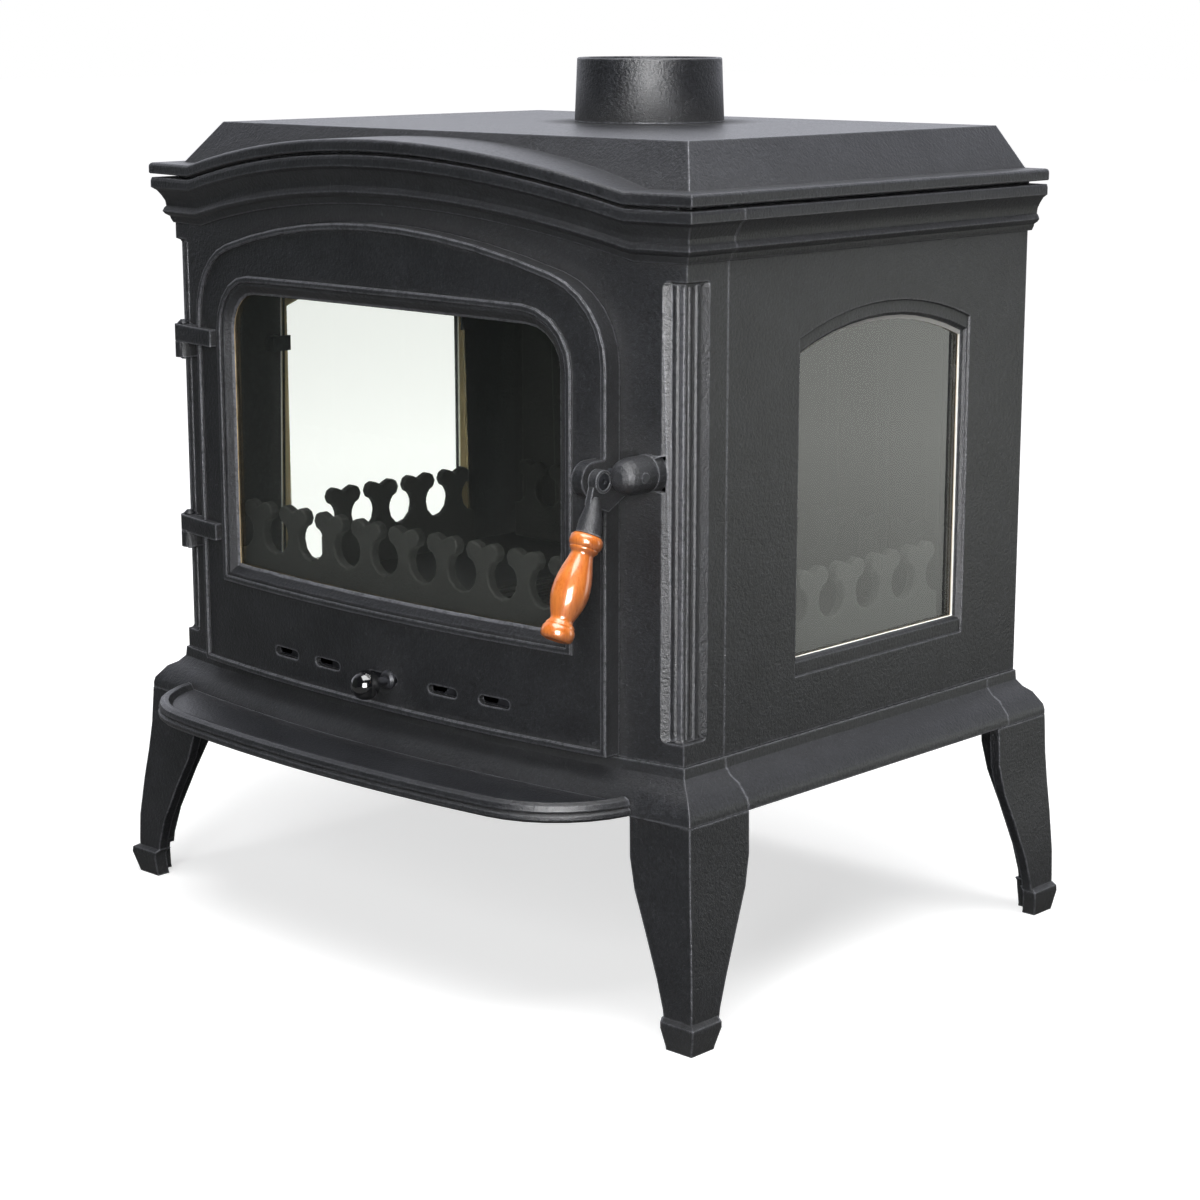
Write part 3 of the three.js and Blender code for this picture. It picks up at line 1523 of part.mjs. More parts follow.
addPiece('latch_pin', buildLatchPin(), blackSteel);
addPiece('handle_lever', buildHandleLever(), blackSteel);
addPiece('handle_grip', buildHandleGrip(), varnishedWood);
addPiece('handle_screw', buildHandleScrew(), blackSteel);

// The origin lies under the middle of the outer box, from the shelf's nose to the rear of the base
stove.position.y = (shelfFront - rearmost) / 2;

export default stove;
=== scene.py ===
"""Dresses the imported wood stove: castings, glass, rope seals, wooden grip, floor, light and camera."""
import json
import math

import bpy
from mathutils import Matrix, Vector


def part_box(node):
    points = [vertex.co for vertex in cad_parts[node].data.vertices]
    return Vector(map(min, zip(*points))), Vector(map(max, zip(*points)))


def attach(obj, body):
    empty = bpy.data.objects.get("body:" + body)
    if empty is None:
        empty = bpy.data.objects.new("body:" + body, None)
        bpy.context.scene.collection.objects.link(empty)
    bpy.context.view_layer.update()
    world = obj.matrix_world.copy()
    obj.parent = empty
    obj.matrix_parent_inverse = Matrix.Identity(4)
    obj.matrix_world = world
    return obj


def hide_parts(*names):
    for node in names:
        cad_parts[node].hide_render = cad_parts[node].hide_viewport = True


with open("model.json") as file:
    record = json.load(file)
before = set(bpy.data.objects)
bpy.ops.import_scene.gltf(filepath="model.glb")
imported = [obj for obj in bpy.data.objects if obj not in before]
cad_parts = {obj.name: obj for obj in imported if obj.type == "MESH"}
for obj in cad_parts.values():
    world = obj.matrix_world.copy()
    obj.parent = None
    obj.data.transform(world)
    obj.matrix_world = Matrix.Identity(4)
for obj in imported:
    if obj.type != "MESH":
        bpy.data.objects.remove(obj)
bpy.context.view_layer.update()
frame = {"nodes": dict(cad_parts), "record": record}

MM = 0.001


# Colours and shader nodes
def linear(hex_colour):
    """An sRGB colour as the linear one that Blender's sockets take."""
    shares = [int(hex_colour[i:i + 2], 16) / 255 for i in (1, 3, 5)]
    return (*[s / 12.92 if s <= 0.04045 else ((s + 0.055) / 1.055) ** 2.4 for s in shares], 1)


def add_node(tree, kind, sockets=None, stops=None, **settings):
    """Adds a node with its settings, its socket values or links, and a colour ramp's two stops."""
    node = tree.nodes.new(kind)
    for name, value in settings.items():
        setattr(node, name, value)
    for name, value in (sockets or {}).items():
        if isinstance(value, bpy.types.NodeSocket):
            tree.links.new(value, node.inputs[name])
        else:
            node.inputs[name].default_value = value
    for element, (position, colour) in zip(node.color_ramp.elements if stops else [], stops or []):
        element.position = position
        element.color = linear(colour)
    return node


def new_material(name):
    material = bpy.data.materials.new(name)
    material.use_nodes = True
    tree = material.node_tree
    tree.nodes.clear()
    place = add_node(tree, "ShaderNodeTexCoord").outputs["Object"]
    return material, tree, place


# Cast iron under matt black stove paint. The sand mould gives a grainy skin with soft waves and fine
# scratches. The outer edges are painted lighter: partly paint rubbed off by handling, partly a painted
# highlight where the round edges would catch the light. The hollows are painted darker as painted shade,
# and their paint is matt. The real grain is under 1 mm, too fine to show from here, so it is drawn
# at about 3 mm.
def painted_cast_iron(name, dark, light, edge_wear_and_highlight, roughness, grain_mm=3.2, edge_mm=1.1):
    cloud_mm, wave_mm, swirl_mm = 45, 14, 9
    wave_depth_mm, grain_depth_mm = 0.6, 0.9
    painted_shade_reach_mm = 45
    darkest_painted_shade = 0.3
    material, tree, place = new_material(name)
    cloud = add_node(tree, "ShaderNodeTexNoise", {
        "Vector": place, "Scale": 1 / (cloud_mm * MM), "Detail": 5.0, "Roughness": 0.65,
    }).outputs["Fac"]
    waves = add_node(tree, "ShaderNodeTexNoise", {
        "Vector": place, "Scale": 1 / (wave_mm * MM), "Detail": 2.0,
    }).outputs["Fac"]
    grain = add_node(tree, "ShaderNodeTexNoise", {
        "Vector": place, "Scale": 1 / (grain_mm * MM), "Detail": 3.0, "Roughness": 0.7,
    }).outputs["Fac"]
    swirl = add_node(tree, "ShaderNodeTexNoise", {
        "Vector": place, "Scale": 1 / (swirl_mm * MM), "Detail": 3.0, "Distortion": 1.2,
    }).outputs["Fac"]
    scratch_line = add_node(tree, "ShaderNodeMath", {
        0: swirl, 1: 0.5, 2: 0.006,
    }, operation="COMPARE").outputs[0]
    # Painted highlight: the outer edges are lightened, partly as rubbed paint, partly for the light they
    # would catch
    inside = add_node(tree, "ShaderNodeAmbientOcclusion", {
        "Distance": 2 * edge_mm * MM,
    }, samples=6, inside=True).outputs["AO"]
    edge = add_node(tree, "ShaderNodeMapRange", {
        "Value": inside, "From Min": 0.95, "From Max": 0.64, "To Min": 0.0, "To Max": 1.0,
    }).outputs["Result"]
    patches = add_node(tree, "ShaderNodeMath", {0: swirl, 1: grain}, operation="MULTIPLY").outputs[0]
    worn = add_node(tree, "ShaderNodeMapRange", {
        "Value": patches, "From Min": 0.14, "From Max": 0.32, "To Min": 0.25, "To Max": 1.0,
    }).outputs["Result"]
    edge_wear_and_painted_highlight = add_node(tree, "ShaderNodeMath", {0: edge, 1: worn}, operation="MULTIPLY").outputs[0]
    # Painted shade: the colour is darkened in the hollows, where shade falls, and the paint there is rougher
    open_sky = add_node(tree, "ShaderNodeAmbientOcclusion", {
        "Distance": painted_shade_reach_mm * MM,
    }, samples=6).outputs["AO"]
    painted_hollow_shade_and_matt = add_node(tree, "ShaderNodeMapRange", {
        "Value": open_sky, "From Min": 0.4, "From Max": 1.0, "To Min": darkest_painted_shade, "To Max": 1.0,
    }).outputs["Result"]
    scratch = add_node(tree, "ShaderNodeMath", {0: scratch_line, 1: 0.16}, operation="MULTIPLY").outputs[0]
    bared_and_painted_highlight = add_node(tree, "ShaderNodeMath", {0: edge_wear_and_painted_highlight, 1: scratch}, operation="MAXIMUM").outputs[0]
    paint = add_node(tree, "ShaderNodeValToRGB", {"Fac": cloud}, stops=[(0.35, dark), (0.65, light)])
    speckle = add_node(tree, "ShaderNodeMapRange", {
        "Value": grain, "From Min": 0.3, "From Max": 0.7, "To Min": 0.4, "To Max": 1.7,
    }).outputs["Result"]
    # The grain's tone times the painted shade of the hollows
    shade = add_node(tree, "ShaderNodeMath", {0: speckle, 1: painted_hollow_shade_and_matt}, operation="MULTIPLY").outputs[0]
    speckled = add_node(tree, "ShaderNodeVectorMath", {
        0: paint.outputs["Color"], 1: shade,
    }, operation="MULTIPLY").outputs[0]
    # Mixes in the edge colour, worn paint and painted highlight, along the edges and scratches
    colour = add_node(tree, "ShaderNodeMix", {
        0: bared_and_painted_highlight, 6: speckled, 7: linear(edge_wear_and_highlight),
    }, data_type="RGBA").outputs[2]
    rounded = add_node(tree, "ShaderNodeBevel", {"Radius": edge_mm * MM}, samples=6).outputs["Normal"]
    waved = add_node(tree, "ShaderNodeBump", {
        "Height": waves, "Distance": wave_depth_mm * MM, "Strength": 0.3, "Normal": rounded,
    }).outputs["Normal"]
    grained = add_node(tree, "ShaderNodeBump", {
        "Height": grain, "Distance": grain_depth_mm * MM, "Strength": 0.8, "Normal": waved,
    }).outputs["Normal"]
    spread, polish = 0.06, 0.12
    open_finish = add_node(tree, "ShaderNodeMapRange", {
        "Value": grain, "From Min": 0.3, "From Max": 0.7,
        "To Min": roughness - spread, "To Max": roughness + spread,
    }).outputs["Result"]
    paint_finish = add_node(tree, "ShaderNodeMapRange", {
        "Value": painted_hollow_shade_and_matt, "From Min": darkest_painted_shade, "From Max": 1.0, "To Min": 0.8, "To Max": open_finish,
    }).outputs["Result"]
    finish = add_node(tree, "ShaderNodeMapRange", {
        "Value": edge_wear_and_painted_highlight, "From Min": 0.0, "From Max": 1.0,
        "To Min": paint_finish, "To Max": roughness - polish,
    }).outputs["Result"]
    shader = add_node(tree, "ShaderNodeBsdfPrincipled", {
        "Base Color": colour,
        "Roughness": finish,
        "Normal": grained,
        "IOR": 1.5,
    })
    add_node(tree, "ShaderNodeOutputMaterial", {"Surface": shader.outputs[0]})
    return material


# Steel with a black oxide skin: darker and smoother than the castings, with a faint metal sheen.
def black_oxide_steel():
    cloud_mm, grain_mm, grain_depth_mm, edge_mm = 9, 0.9, 0.06, 0.7
    material, tree, place = new_material("black_oxide_steel")
    cloud = add_node(tree, "ShaderNodeTexNoise", {
        "Vector": place, "Scale": 1 / (cloud_mm * MM), "Detail": 3.0,
    }).outputs["Fac"]
    grain = add_node(tree, "ShaderNodeTexNoise", {
        "Vector": place, "Scale": 1 / (grain_mm * MM), "Detail": 2.0,
    }).outputs["Fac"]
    oxide = add_node(tree, "ShaderNodeValToRGB", {"Fac": cloud}, stops=[(0.35, "#26272a"), (0.65, "#35363b")])
    finish = add_node(tree, "ShaderNodeMapRange", {
        "Value": cloud, "From Min": 0.3, "From Max": 0.7, "To Min": 0.36, "To Max": 0.5,
    }).outputs["Result"]
    rounded = add_node(tree, "ShaderNodeBevel", {"Radius": edge_mm * MM}, samples=5).outputs["Normal"]
    grained = add_node(tree, "ShaderNodeBump", {
        "Height": grain, "Distance": grain_depth_mm * MM, "Strength": 0.5, "Normal": rounded,
    }).outputs["Normal"]
    shader = add_node(tree, "ShaderNodeBsdfPrincipled", {
        "Base Color": oxide.outputs["Color"],
        "Roughness": finish,
        "Normal": grained,
        "Metallic": 0.3,
    })
    add_node(tree, "ShaderNodeOutputMaterial", {"Surface": shader.outputs[0]})
    return material


# Zinc-coated sheet steel dulled by ash: grey, with fine rolling lines along the pan.
def galvanised_sheet():
    line_mm, line_depth_mm, cloud_mm = 1.2, 0.03, 30
    stretch_share = 0.03
    material, tree, place = new_material("galvanised_sheet")
    along = add_node(tree, "ShaderNodeMapping", {
        "Vector": place, "Scale": (1, stretch_share, 1),
    }).outputs["Vector"]
    rolled = add_node(tree, "ShaderNodeTexNoise", {
        "Vector": along, "Scale": 1 / (line_mm * MM), "Detail": 3.0,
    }).outputs["Fac"]
    cloud = add_node(tree, "ShaderNodeTexNoise", {
        "Vector": place, "Scale": 1 / (cloud_mm * MM), "Detail": 3.0,
    }).outputs["Fac"]
    zinc = add_node(tree, "ShaderNodeValToRGB", {"Fac": cloud}, stops=[(0.35, "#5d5c5a"), (0.65, "#7b7a78")])
    finish = add_node(tree, "ShaderNodeMapRange", {
        "Value": rolled, "From Min": 0.3, "From Max": 0.7, "To Min": 0.38, "To Max": 0.55,
    }).outputs["Result"]
    lined = add_node(tree, "ShaderNodeBump", {
        "Height": rolled, "Distance": line_depth_mm * MM, "Strength": 0.5,
    }).outputs["Normal"]
    shader = add_node(tree, "ShaderNodeBsdfPrincipled", {
        "Base Color": zinc.outputs["Color"],
        "Roughness": finish,
        "Normal": lined,
        "Metallic": 1.0,
    })
    add_node(tree, "ShaderNodeOutputMaterial", {"Surface": shader.outputs[0]})
    return material


# Ceramic stove glass: clear, faintly green-grey, with a light haze of smoke. Lamps shine through it.
def ceramic_glass():
    haze_mm = 60
    material, tree, place = new_material("ceramic_glass")
    haze = add_node(tree, "ShaderNodeTexNoise", {
        "Vector": place, "Scale": 1 / (haze_mm * MM), "Detail": 3.0,
    }).outputs["Fac"]
    finish = add_node(tree, "ShaderNodeMapRange", {
        "Value": haze, "From Min": 0.3, "From Max": 0.7, "To Min": 0.0, "To Max": 0.03,
    }).outputs["Result"]
    shader = add_node(tree, "ShaderNodeBsdfPrincipled", {
        "Base Color": linear("#fbfdfa"),
        "Roughness": finish,
        "IOR": 1.52,
        "Transmission Weight": 1.0,
    })
    clear = add_node(tree, "ShaderNodeBsdfTransparent", {"Color": linear("#fbfdfa")})
    path = add_node(tree, "ShaderNodeLightPath")
    mix = add_node(tree, "ShaderNodeMixShader", {
        0: path.outputs["Is Shadow Ray"], 1: shader.outputs[0], 2: clear.outputs[0],
    })
    add_node(tree, "ShaderNodeOutputMaterial", {"Surface": mix.outputs[0]})
    return material


# Glass-fibre rope and tape: tan yarn in a diagonal weave, quite matt. The yarn is about 1 mm wide, too
# fine to show from here, so the weave is drawn at nearly 6 mm. A wave texture turns 20 radians in each
# unit of its scale.
def glass_fibre_weave():
    weave_mm, weave_depth_mm, cloud_mm = 5.65, 0.4, 12
    wave_turn = 20
    wave_scale = math.tau / (wave_turn * weave_mm * MM)
    material, tree, place = new_material("glass_fibre_weave")
    waves = [
        add_node(tree, "ShaderNodeTexWave", {
            "Vector": place, "Scale": wave_scale, "Distortion": 1.5, "Detail": 1.0,
        }, bands_direction=direction).outputs["Fac"]
        for direction in ("DIAGONAL", "Z")
    ]
    weave = add_node(tree, "ShaderNodeMath", {0: waves[0], 1: waves[1]}, operation="MULTIPLY").outputs[0]
    cloud = add_node(tree, "ShaderNodeTexNoise", {
        "Vector": place, "Scale": 1 / (cloud_mm * MM), "Detail": 3.0,
    }).outputs["Fac"]
    yarn = add_node(tree, "ShaderNodeValToRGB", {"Fac": cloud}, stops=[(0.3, "#957f5b"), (0.7, "#c0aa84")])
    woven = add_node(tree, "ShaderNodeBump", {
        "Height": weave, "Distance": weave_depth_mm * MM, "Strength": 0.8,
    }).outputs["Normal"]
    shader = add_node(tree, "ShaderNodeBsdfPrincipled", {
        "Base Color": yarn.outputs["Color"],
        "Roughness": 0.92,
        "Normal": woven,
        "Sheen Weight": 0.2,
    })
    add_node(tree, "ShaderNodeOutputMaterial", {"Surface": shader.outputs[0]})
    return material


# Ceramic fibre paper under the side windows: white and soft outside, browned by smoke on its inner face.
def ceramic_fibre_paper(inner_x, outer_x):
    fibre_mm, fibre_depth_mm = 1.5, 0.2
    material, tree, place = new_material("ceramic_fibre_paper")
    across = add_node(tree, "ShaderNodeSeparateXYZ", {"Vector": place}).outputs["X"]
    outward = add_node(tree, "ShaderNodeMath", {0: across}, operation="ABSOLUTE").outputs[0]
    cleaner = add_node(tree, "ShaderNodeMapRange", {
        "Value": outward, "From Min": inner_x, "From Max": outer_x, "To Min": 0.0, "To Max": 1.0,
    }).outputs["Result"]
    fibres = add_node(tree, "ShaderNodeTexNoise", {
        "Vector": place, "Scale": 1 / (fibre_mm * MM), "Detail": 3.0,
    }).outputs["Fac"]
    paper = add_node(tree, "ShaderNodeValToRGB", {"Fac": cleaner}, stops=[(0.0, "#a8916a"), (0.5, "#faf8f2")])
    felted = add_node(tree, "ShaderNodeBump", {
        "Height": fibres, "Distance": fibre_depth_mm * MM, "Strength": 0.6,
    }).outputs["Normal"]
    shader = add_node(tree, "ShaderNodeBsdfPrincipled", {
        "Base Color": paper.outputs["Color"],
        "Roughness": 0.95,
        "Normal": felted,
    })
    add_node(tree, "ShaderNodeOutputMaterial", {"Surface": shader.outputs[0]})
    return material


# Moulded phenolic: deep black with a hard gloss and the faint flow of the mould.
def phenolic_resin():
    flow_mm, flow_depth_mm = 8, 0.05
    material, tree, place = new_material("phenolic_resin")
    flow = add_node(tree, "ShaderNodeTexNoise", {
        "Vector": place, "Scale": 1 / (flow_mm * MM), "Detail": 2.0,
    }).outputs["Fac"]
    finish = add_node(tree, "ShaderNodeMapRange", {
        "Value": flow, "From Min": 0.3, "From Max": 0.7, "To Min": 0.08, "To Max": 0.16,
    }).outputs["Result"]
    moulded = add_node(tree, "ShaderNodeBump", {
        "Height": flow, "Distance": flow_depth_mm * MM, "Strength": 0.15,
    }).outputs["Normal"]
    shader = add_node(tree, "ShaderNodeBsdfPrincipled", {
        "Base Color": linear("#0b0b0d"),
        "Roughness": finish,
        "Normal": moulded,
        "IOR": 1.6,
        "Coat Weight": 0.6,
    })
    add_node(tree, "ShaderNodeOutputMaterial", {"Surface": shader.outputs[0]})
    return material


# Beech turned along its grain, stained orange-brown under gloss varnish: fine streaks run down the grip.
def stained_beech(grip_tilt):
    fibre_mm, band_mm, fibre_depth_mm = 1.7, 7, 0.08
    stretch_share = 0.09
    material, tree, place = new_material("stained_beech")
    along = add_node(tree, "ShaderNodeMapping", {
        "Vector": place, "Rotation": (grip_tilt, 0, 0), "Scale": (1, 1, stretch_share),
    }).outputs["Vector"]
    fibres = add_node(tree, "ShaderNodeTexNoise", {
        "Vector": along, "Scale": 1 / (fibre_mm * MM), "Detail": 4.0, "Roughness": 0.65,
    }).outputs["Fac"]
    bands = add_node(tree, "ShaderNodeTexNoise", {
        "Vector": along, "Scale": 1 / (band_mm * MM), "Detail": 2.0,
    }).outputs["Fac"]
    stain = add_node(tree, "ShaderNodeMath", {0: fibres, 1: bands}, operation="MULTIPLY").outputs[0]
    wood = add_node(tree, "ShaderNodeValToRGB", {"Fac": stain}, stops=[(0.1, "#bf5f1c"), (0.38, "#dd8038")])
    finish = add_node(tree, "ShaderNodeMapRange", {
        "Value": fibres, "From Min": 0.3, "From Max": 0.7, "To Min": 0.26, "To Max": 0.36,
    }).outputs["Result"]
    grained = add_node(tree, "ShaderNodeBump", {
        "Height": fibres, "Distance": fibre_depth_mm * MM, "Strength": 0.3,
    }).outputs["Normal"]
    shader = add_node(tree, "ShaderNodeBsdfPrincipled", {
        "Base Color": wood.outputs["Color"],
        "Roughness": finish,
        "Normal": grained,
        "Coat Weight": 1.0,
        "Coat Roughness": 0.08,
        "IOR": 1.5,
    })
    add_node(tree, "ShaderNodeOutputMaterial", {"Surface": shader.outputs[0]})
    return material


GRIP_TILT = math.radians(25.6)

# The lever and the keeper are rubbed smoother by hands, and soot dulls what stands in the fire.
# In each cast iron the fourth colour goes on the outer edges: worn paint and painted highlight.
handled_iron = painted_cast_iron(
    "handled_cast_iron", "#202124", "#2a2b2e", "#8a8b90", 0.34, grain_mm=1.6, edge_mm=0.8,
)
sooty_iron = painted_cast_iron("sooty_cast_iron", "#070706", "#0d0d0c", "#2a2a27", 0.75, grain_mm=3.6)
seal_paper = ceramic_fibre_paper(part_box("right_window_seal")[0][0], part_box("right_window_seal")[1][0])

FINISH_OF_SLOT = {
    "cast_iron": painted_cast_iron("painted_cast_iron", "#131417", "#1d1e21", "#66676c", 0.38),
    "black_steel": black_oxide_steel(),
    "sheet_steel": galvanised_sheet(),
    "clear_glass": ceramic_glass(),
    "ceramic_rope": glass_fibre_weave(),
    "black_ball": phenolic_resin(),
    "varnished_wood": stained_beech(GRIP_TILT),
}
LOG_GUARDS = ("front_log_guard", "rear_log_guard", "left_log_guard", "right_log_guard")
FIREBOX_NODES = ("hearth_plate", "firebed_plate", "fire_grate", "fireback", "baffle_plate", *LOG_GUARDS)
HANDLED_NODES = ("handle_lever", "latch_keeper")

slot_of = {part["node"]: part["material_slot"] for part in frame["record"]["subparts"]}
body_of = {
    node: body
    for body, members in frame["record"]["behaviour"]["bodies"].items()
    for node in members
}


def finish_of(node_name):
    if node_name in HANDLED_NODES:
        return handled_iron
    if node_name in FIREBOX_NODES:
        return sooty_iron
    if node_name.endswith("window_seal"):
        return seal_paper
    return FINISH_OF_SLOT[slot_of[node_name]]


# Pieces
def only(piece):
    bpy.ops.object.select_all(action="DESELECT")
    piece.select_set(True)
    bpy.context.view_layer.objects.active = piece


def apply_modifier(piece, kind, **settings):
    only(piece)
    bpy.ops.object.modifier_add(type=kind)
    modifier = piece.modifiers[-1]
    for name, value in settings.items():
        setattr(modifier, name, value)
    bpy.ops.object.modifier_apply(modifier=modifier.name)


def stand_in(piece, node_name):
    """Dresses a finished piece and puts it in the place of its node."""
    piece.data.materials.clear()
    piece.data.materials.append(finish_of(node_name))
    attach(piece, body_of[node_name])
    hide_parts(node_name)


def joined_copy(node_name):
    """The node's solid, its loose triangles joined into whole faces and their stored normals cleared."""
    same_point_mm, same_plane_degrees = 0.01, 0.4
    node = frame["nodes"][node_name]
    piece = bpy.data.objects.new(node_name + "_piece", node.data.copy())
    bpy.context.scene.collection.objects.link(piece)
    only(piece)
    bpy.ops.mesh.customdata_custom_splitnormals_clear()
    bpy.ops.object.mode_set(mode="EDIT")
    bpy.ops.mesh.select_all(action="SELECT")
    bpy.ops.mesh.remove_doubles(threshold=same_point_mm * MM)
    bpy.ops.mesh.dissolve_limited(angle_limit=math.radians(same_plane_degrees))
    bpy.ops.object.mode_set(mode="OBJECT")
    return piece


def select_where(piece, chosen):
    """In edit mode, selects the points whose place in mm passes the test."""
    bpy.ops.mesh.select_mode(type="VERT")
    bpy.ops.mesh.select_all(action="DESELECT")
    bpy.ops.object.mode_set(mode="OBJECT")
    for point in piece.data.vertices:
        point.select = chosen(*(point.co / MM))
    bpy.ops.object.mode_set(mode="EDIT")


# Lengths below are in mm. In the photo the niche's walls slope, so they catch the light, its floor lies
# a little shallower than in the solid, and its reeds stand nearer the corner. Each move takes the points
# between two places in plan, of which the first is the lower one, and gives their shift.
NICHE_MOVES = {
    "mouth of the front wall": ((318.5, -203), (324.6, -194.3), (6.5, 1.1)),
    "middle of the front wall": ((319.5, -194.3), (324.6, -189), (6.5, 0)),
    "foot of the front wall": ((320.5, -189), (324.6, -187), (8.5, -1.5)),
    "front reed": ((326, -193), (336, -186), (4.6, -1.5)),
    "thin front reed": ((337, -190.5), (341.75, -187.5), (3.6, -1.5)),
    "corner of the floor": ((341.75, -188.2), (342.3, -187.8), (3.3, -1.5)),
    "thin side reed": ((341.75, -187.7), (344.2, -183.3), (3, 0)),
    "side reed": ((341.75, -179.6), (346.6, -170.4), (2.6, -1)),
    "foot of the side wall": ((341.75, -166), (342.3, -164), (3.3, -5)),
}
NICHE_FOOT, NICHE_HEAD = 260, 697

# The latch keeper and the round pad behind it, which stands across the niche's front wall
KEEPER_RADIUS = 17
KEEPER_PAD_RADIUS = 18.5
PAD_START_X = 320.2
PAD_BACK_Y = -195
keeper_middle = [(low + high) / 2 for low, high in zip(*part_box("latch_keeper"))]


def from_keeper(x, z):
    return math.hypot(x - keeper_middle[0] / MM, z - keeper_middle[2] / MM)


def on_pad(x, z):
    clearance = 1
    return x > PAD_START_X and from_keeper(x, z) < KEEPER_PAD_RADIUS + clearance


def slope_niche(piece):
    """Slopes the niche's walls on both corners, then shrinks the keeper's pad to just past the keeper."""
    margin = 0.4
    bpy.ops.object.mode_set(mode="EDIT")
    for side in (1, -1):
        for (low_x, low_y), (high_x, high_y), (shift_x, shift_y) in NICHE_MOVES.values():
            select_where(piece, lambda x, y, z: (
                low_x < side * x < high_x and low_y < y < high_y
                and NICHE_FOOT < z < NICHE_HEAD and not on_pad(x, z)
            ))
            bpy.ops.transform.translate(value=(side * shift_x * MM, shift_y * MM, 0))
    select_where(piece, lambda x, y, z: (
        abs(from_keeper(x, z) - KEEPER_PAD_RADIUS) < margin and y < PAD_BACK_Y
    ))
    shrink_share = (KEEPER_RADIUS + margin) / KEEPER_PAD_RADIUS
    bpy.ops.transform.resize(value=(shrink_share, 1, shrink_share), center_override=keeper_middle)
    bpy.ops.object.mode_set(mode="OBJECT")


def lower_seal_arch(piece):
    """Lets the side window's paper show a few millimetres below the head of the opening."""
    peek = 4
    arch_foot = 560
    rim = 10
    low, high = piece.bound_box[0], piece.bound_box[6]
    bpy.ops.object.mode_set(mode="EDIT")
    select_where(piece, lambda x, y, z: (
        z > arch_foot and low[1] / MM + rim < y < high[1] / MM - rim
    ))
    bpy.ops.transform.translate(value=(0, 0, -peek * MM))
    bpy.ops.object.mode_set(mode="OBJECT")


def show_pin_end(piece):
    """Brings the pin's outer end out to the keeper's side, where it shows as a dot."""
    end_x = 328.4
    reach = end_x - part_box("latch_pin")[1][0] / MM
    bpy.ops.object.mode_set(mode="EDIT")
    select_where(piece, lambda x, y, z: x > keeper_middle[0] / MM)
    bpy.ops.transform.translate(value=(reach * MM, 0, 0))
    bpy.ops.object.mode_set(mode="OBJECT")


RESHAPES = {
    "front_plate": slope_niche, "latch_pin": show_pin_end,
    "left_window_seal": lower_seal_arch, "right_window_seal": lower_seal_arch,
}


# Pieces whose outer edges are rolled as geometry, with the radius
EDGE_RADIUS = {
    **dict.fromkeys(LOG_GUARDS, 2.2),
    **dict.fromkeys(("front_left_leg", "front_right_leg", "rear_left_leg", "rear_right_leg"), 1.4),
    "handle_lever": 0.6,
}
SQUARE_DEGREES = 40

# Faces that meet at less than this are shaded as one curve. The plates with shallow slopes take less.
SMOOTH_DEGREES = {"front_plate": 16, "door_frame": 16, "top_plate": 12}
OTHER_SMOOTH_DEGREES = 32


def smooth_copy(node_name):
    piece = joined_copy(node_name)
    if node_name in RESHAPES:
        RESHAPES[node_name](piece)
    if node_name in EDGE_RADIUS:
        apply_modifier(
            piece, "BEVEL", width=EDGE_RADIUS[node_name] * MM, segments=3, limit_method="ANGLE",
            angle_limit=math.radians(SQUARE_DEGREES), use_clamp_overlap=True,
        )
    only(piece)
    degrees = SMOOTH_DEGREES.get(node_name, OTHER_SMOOTH_DEGREES)
    bpy.ops.object.shade_smooth_by_angle(angle=math.radians(degrees))
    apply_modifier(piece, "WEIGHTED_NORMAL", keep_sharp=True, weight=100)
    stand_in(piece, node_name)


def soft_keeper(node_name):
    """The keeper as a plain bullet with no flange, soft all over as it left the mould."""
    flange_margin, soft_mm = 0.5, 0.7
    piece = joined_copy(node_name)
    bpy.ops.object.mode_set(mode="EDIT")
    select_where(piece, lambda x, y, z: from_keeper(x, z) > KEEPER_RADIUS + flange_margin)
    shrink_share = KEEPER_RADIUS / KEEPER_PAD_RADIUS
    bpy.ops.transform.resize(value=(shrink_share, 1, shrink_share), center_override=keeper_middle)
    bpy.ops.object.mode_set(mode="OBJECT")
    apply_modifier(piece, "REMESH", mode="VOXEL", voxel_size=soft_mm * MM)
    apply_modifier(piece, "SMOOTH", factor=0.5, iterations=5)
    only(piece)
    bpy.ops.object.shade_smooth()
    stand_in(piece, node_name)


# Grip: radius as a share of the widest, and distance from the top as a share of the length, from the
# face at its top past its round neck, its belly and its round foot
GRIP_SHARES = [
    (0.76, 0.008), (0.86, 0.03), (0.89, 0.065), (0.87, 0.1), (0.79, 0.122), (0.76, 0.128), (0.77, 0.138),
    (0.74, 0.152), (0.64, 0.168), (0.6, 0.18), (0.615, 0.2), (0.7, 0.26), (0.82, 0.33), (0.94, 0.42),
    (0.99, 0.5), (1, 0.56), (0.96, 0.62), (0.87, 0.68), (0.75, 0.74), (0.65, 0.78), (0.61, 0.805),
    (0.64, 0.825), (0.74, 0.845), (0.78, 0.855), (0.77, 0.865), (0.8, 0.873), (0.87, 0.895),
    (0.895, 0.93), (0.87, 0.965), (0.78, 0.99), (0.6, 1), (0.5, 0.992),
]
GRIP_FACE_SHARE = 0.5
GRIP_RADIUS = 17
GRIP_LENGTH = 97
GRIP_TOP = (289.5, -253.54, 461.8)
BORE_RADIUS = 6
BORE_DEPTH = 61


